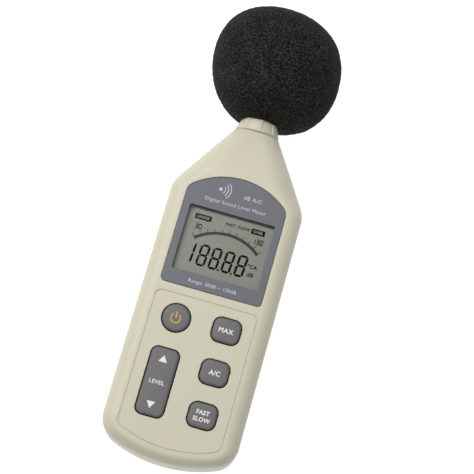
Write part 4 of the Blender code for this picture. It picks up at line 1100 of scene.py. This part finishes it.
def batteries():
    """Each cell as four turned pieces: bright nub, gold band, sleeve and base. Profiles list (y, radius)."""
    for index in range(4):
        low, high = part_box(f"cell_{index + 1}")
        centre = ((low.x + high.x) / 2, (low.z + high.z) / 2)
        r = (high.x - low.x) / 2
        up = index % 2 == 0
        start, way = (high.y, -1) if up else (low.y, 1)
        bright = [(0, 0), (0, 2.3), (0.3, 2.75), (1.3, 2.75), (1.3, 5.6), (1.2, 5.9)]
        sleeve = [(1.2, 5.9), (1.25, 6.6), (1.7, 7.15), (2.1, 7.25), (16, 7.25)]
        rest = [(16, 7.25), (49.9, 7.25), (50.3, 7.1), (50.45, 6.7), (50.4, 6.2)]
        base = [(50.4, 6.2), (50.45, 4.5), (50.5, 4.3), (50.5, 0)]
        for part, profile, finish in (
            ("nub", bright, STEEL),
            ("band", sleeve, SLEEVE_GOLD),
            ("sleeve", rest, SLEEVE),
            ("base", base, STEEL),
        ):
            skin = Skin()
            points = [(start + way * y * MM, radius * MM * r / (7.25 * MM)) for y, radius in profile]
            skin.grid(turned(points, 64, centre), True)
            ends = turned([points[-1], (points[-1][0], 0), (points[0][0], 0), points[0]], 64, centre)
            skin.grid(ends, True)
            name = f"cell_{index + 1}_{part}"
            replaced = [f"cell_{index + 1}"] if part == "sleeve" else []
            piece(name, skin.mesh(name, 40), "case", finish, replaced)


def smooth_frame_nodes():
    """Gives every node that still shows its finish."""
    finishes = {
        "white_plastic": WHITE_PLASTIC,
        "conductive_rubber": RUBBER,
        "circuit_board": BOARD_GREEN,
        "black_plastic": BLACK_PLASTIC,
        "blue_plastic": BLUE_PLASTIC,
        "brass": BRASS,
        "steel": STEEL,
        "cell_jacket": SLEEVE,
        "black_foam": FOAM,
        "ivory_plastic": IVORY,
        "slate_overlay": SLATE,
        "clear_window": CLEAR,
        "lcd": LCD,
        "grey_key": KEY_GREY,
    }
    for entry in frame["record"]["subparts"]:
        thing = nodes[entry["node"]]
        thing.data.materials.clear()
        thing.data.materials.append(finishes[entry["material_slot"]])


# The floor lies below the battery door's lowest place
DOOR_ROOM = 28 * MM


def stage():
    """Pale floor, soft key light from the upper left, and a camera at the viewing angle."""
    floor_mesh = bpy.data.meshes.new("floor")
    reach, z = 6.0, cad_box[0][2] - DOOR_ROOM
    corners = [(-reach, -reach, z), (reach, -reach, z), (reach, reach, z), (-reach, reach, z)]
    floor_mesh.from_pydata(corners, [], [(0, 1, 2, 3)])
    floor = linked("floor", floor_mesh)
    white = bpy.data.materials.new("pale_floor")
    white.use_nodes = True
    shader = white.node_tree.nodes["Principled BSDF"]
    for socket, value in (
        ("Base Color", (0.3, 0.3, 0.3, 1)),
        ("Roughness", 0.9),
        ("Emission Color", (1, 1, 1, 1)),
        ("Emission Strength", 0.92),
    ):
        shader.inputs[socket].default_value = value
    floor.data.materials.append(white)

    for name, place, size, power in (
        ("key_light", (-0.54, 0.46, 1.2), 1.05, 17.2),
        ("fill_light", (0.1, -0.2, 1.3), 1.0, 1.8),
    ):
        lamp = bpy.data.lights.new(name, "AREA")
        lamp.size, lamp.energy = size, power
        thing = linked(name, lamp)
        thing.location = place
        aim = Vector((0, 0.03, 0.02)) - Vector(place)
        thing.rotation_euler = aim.to_track_quat("-Z", "Y").to_euler()
    world = bpy.data.worlds.new("studio")
    world.use_nodes = True
    background = world.node_tree.nodes["Background"]
    background.inputs["Color"].default_value = (1, 1, 1, 1)
    background.inputs["Strength"].default_value = 0.22
    bpy.context.scene.world = world
    bpy.context.scene.view_settings.view_transform = "Standard"

    tilt, turn, roll = 0.24822, 0.01615, math.radians(16)
    back = Vector((math.sin(turn) * math.cos(tilt), -math.sin(tilt), math.cos(turn) * math.cos(tilt)))
    target = Vector((4.81 * MM, at(123.79), MID_Z))
    up = (Vector((0, 1, 0)) - back * back.y).normalized()
    right = up.cross(back)
    right, up = math.cos(roll) * right + math.sin(roll) * up, math.cos(roll) * up - math.sin(roll) * right
    data = bpy.data.cameras.new("camera")
    data.lens, data.sensor_width = 101.6, 36.0
    camera = linked("camera", data)
    place = target + back * 0.7
    camera.matrix_world = Matrix.Translation(place) @ Matrix((right, up, back)).transposed().to_4x4()
    bpy.context.scene.camera = camera


def main():
    smooth_frame_nodes()
    stage()
    piece("front_shell", front_case(), "case", IVORY, ["front_case"])
    piece("rear_shell", rear_case(), "case", IVORY, ["rear_case"])
    piece("overlay", display_panel(), "case", SLATE, ["display_panel"])
    piece("window_pane", window_pane(), "case", CLEAR, ["window_lens"])
    for name in KEYS:
        piece(name + "_cap", key_cap(name), name, KEY_GREY, [name])
    piece("ribbed_collar", collar(), "case", IVORY, ["neck_collar"])
    foam = piece("foam_ball", windscreen(), "windscreen", FOAM, ["windscreen"])
    piece("door_plate", battery_door(), "battery_door", IVORY, ["battery_door"])
    microphone()
    piece("protection_grid", protection_grid(), "case", STEEL, ["mic_grid"])
    batteries()
    key_legends()
    panel_printing()
    display_artwork()


main()
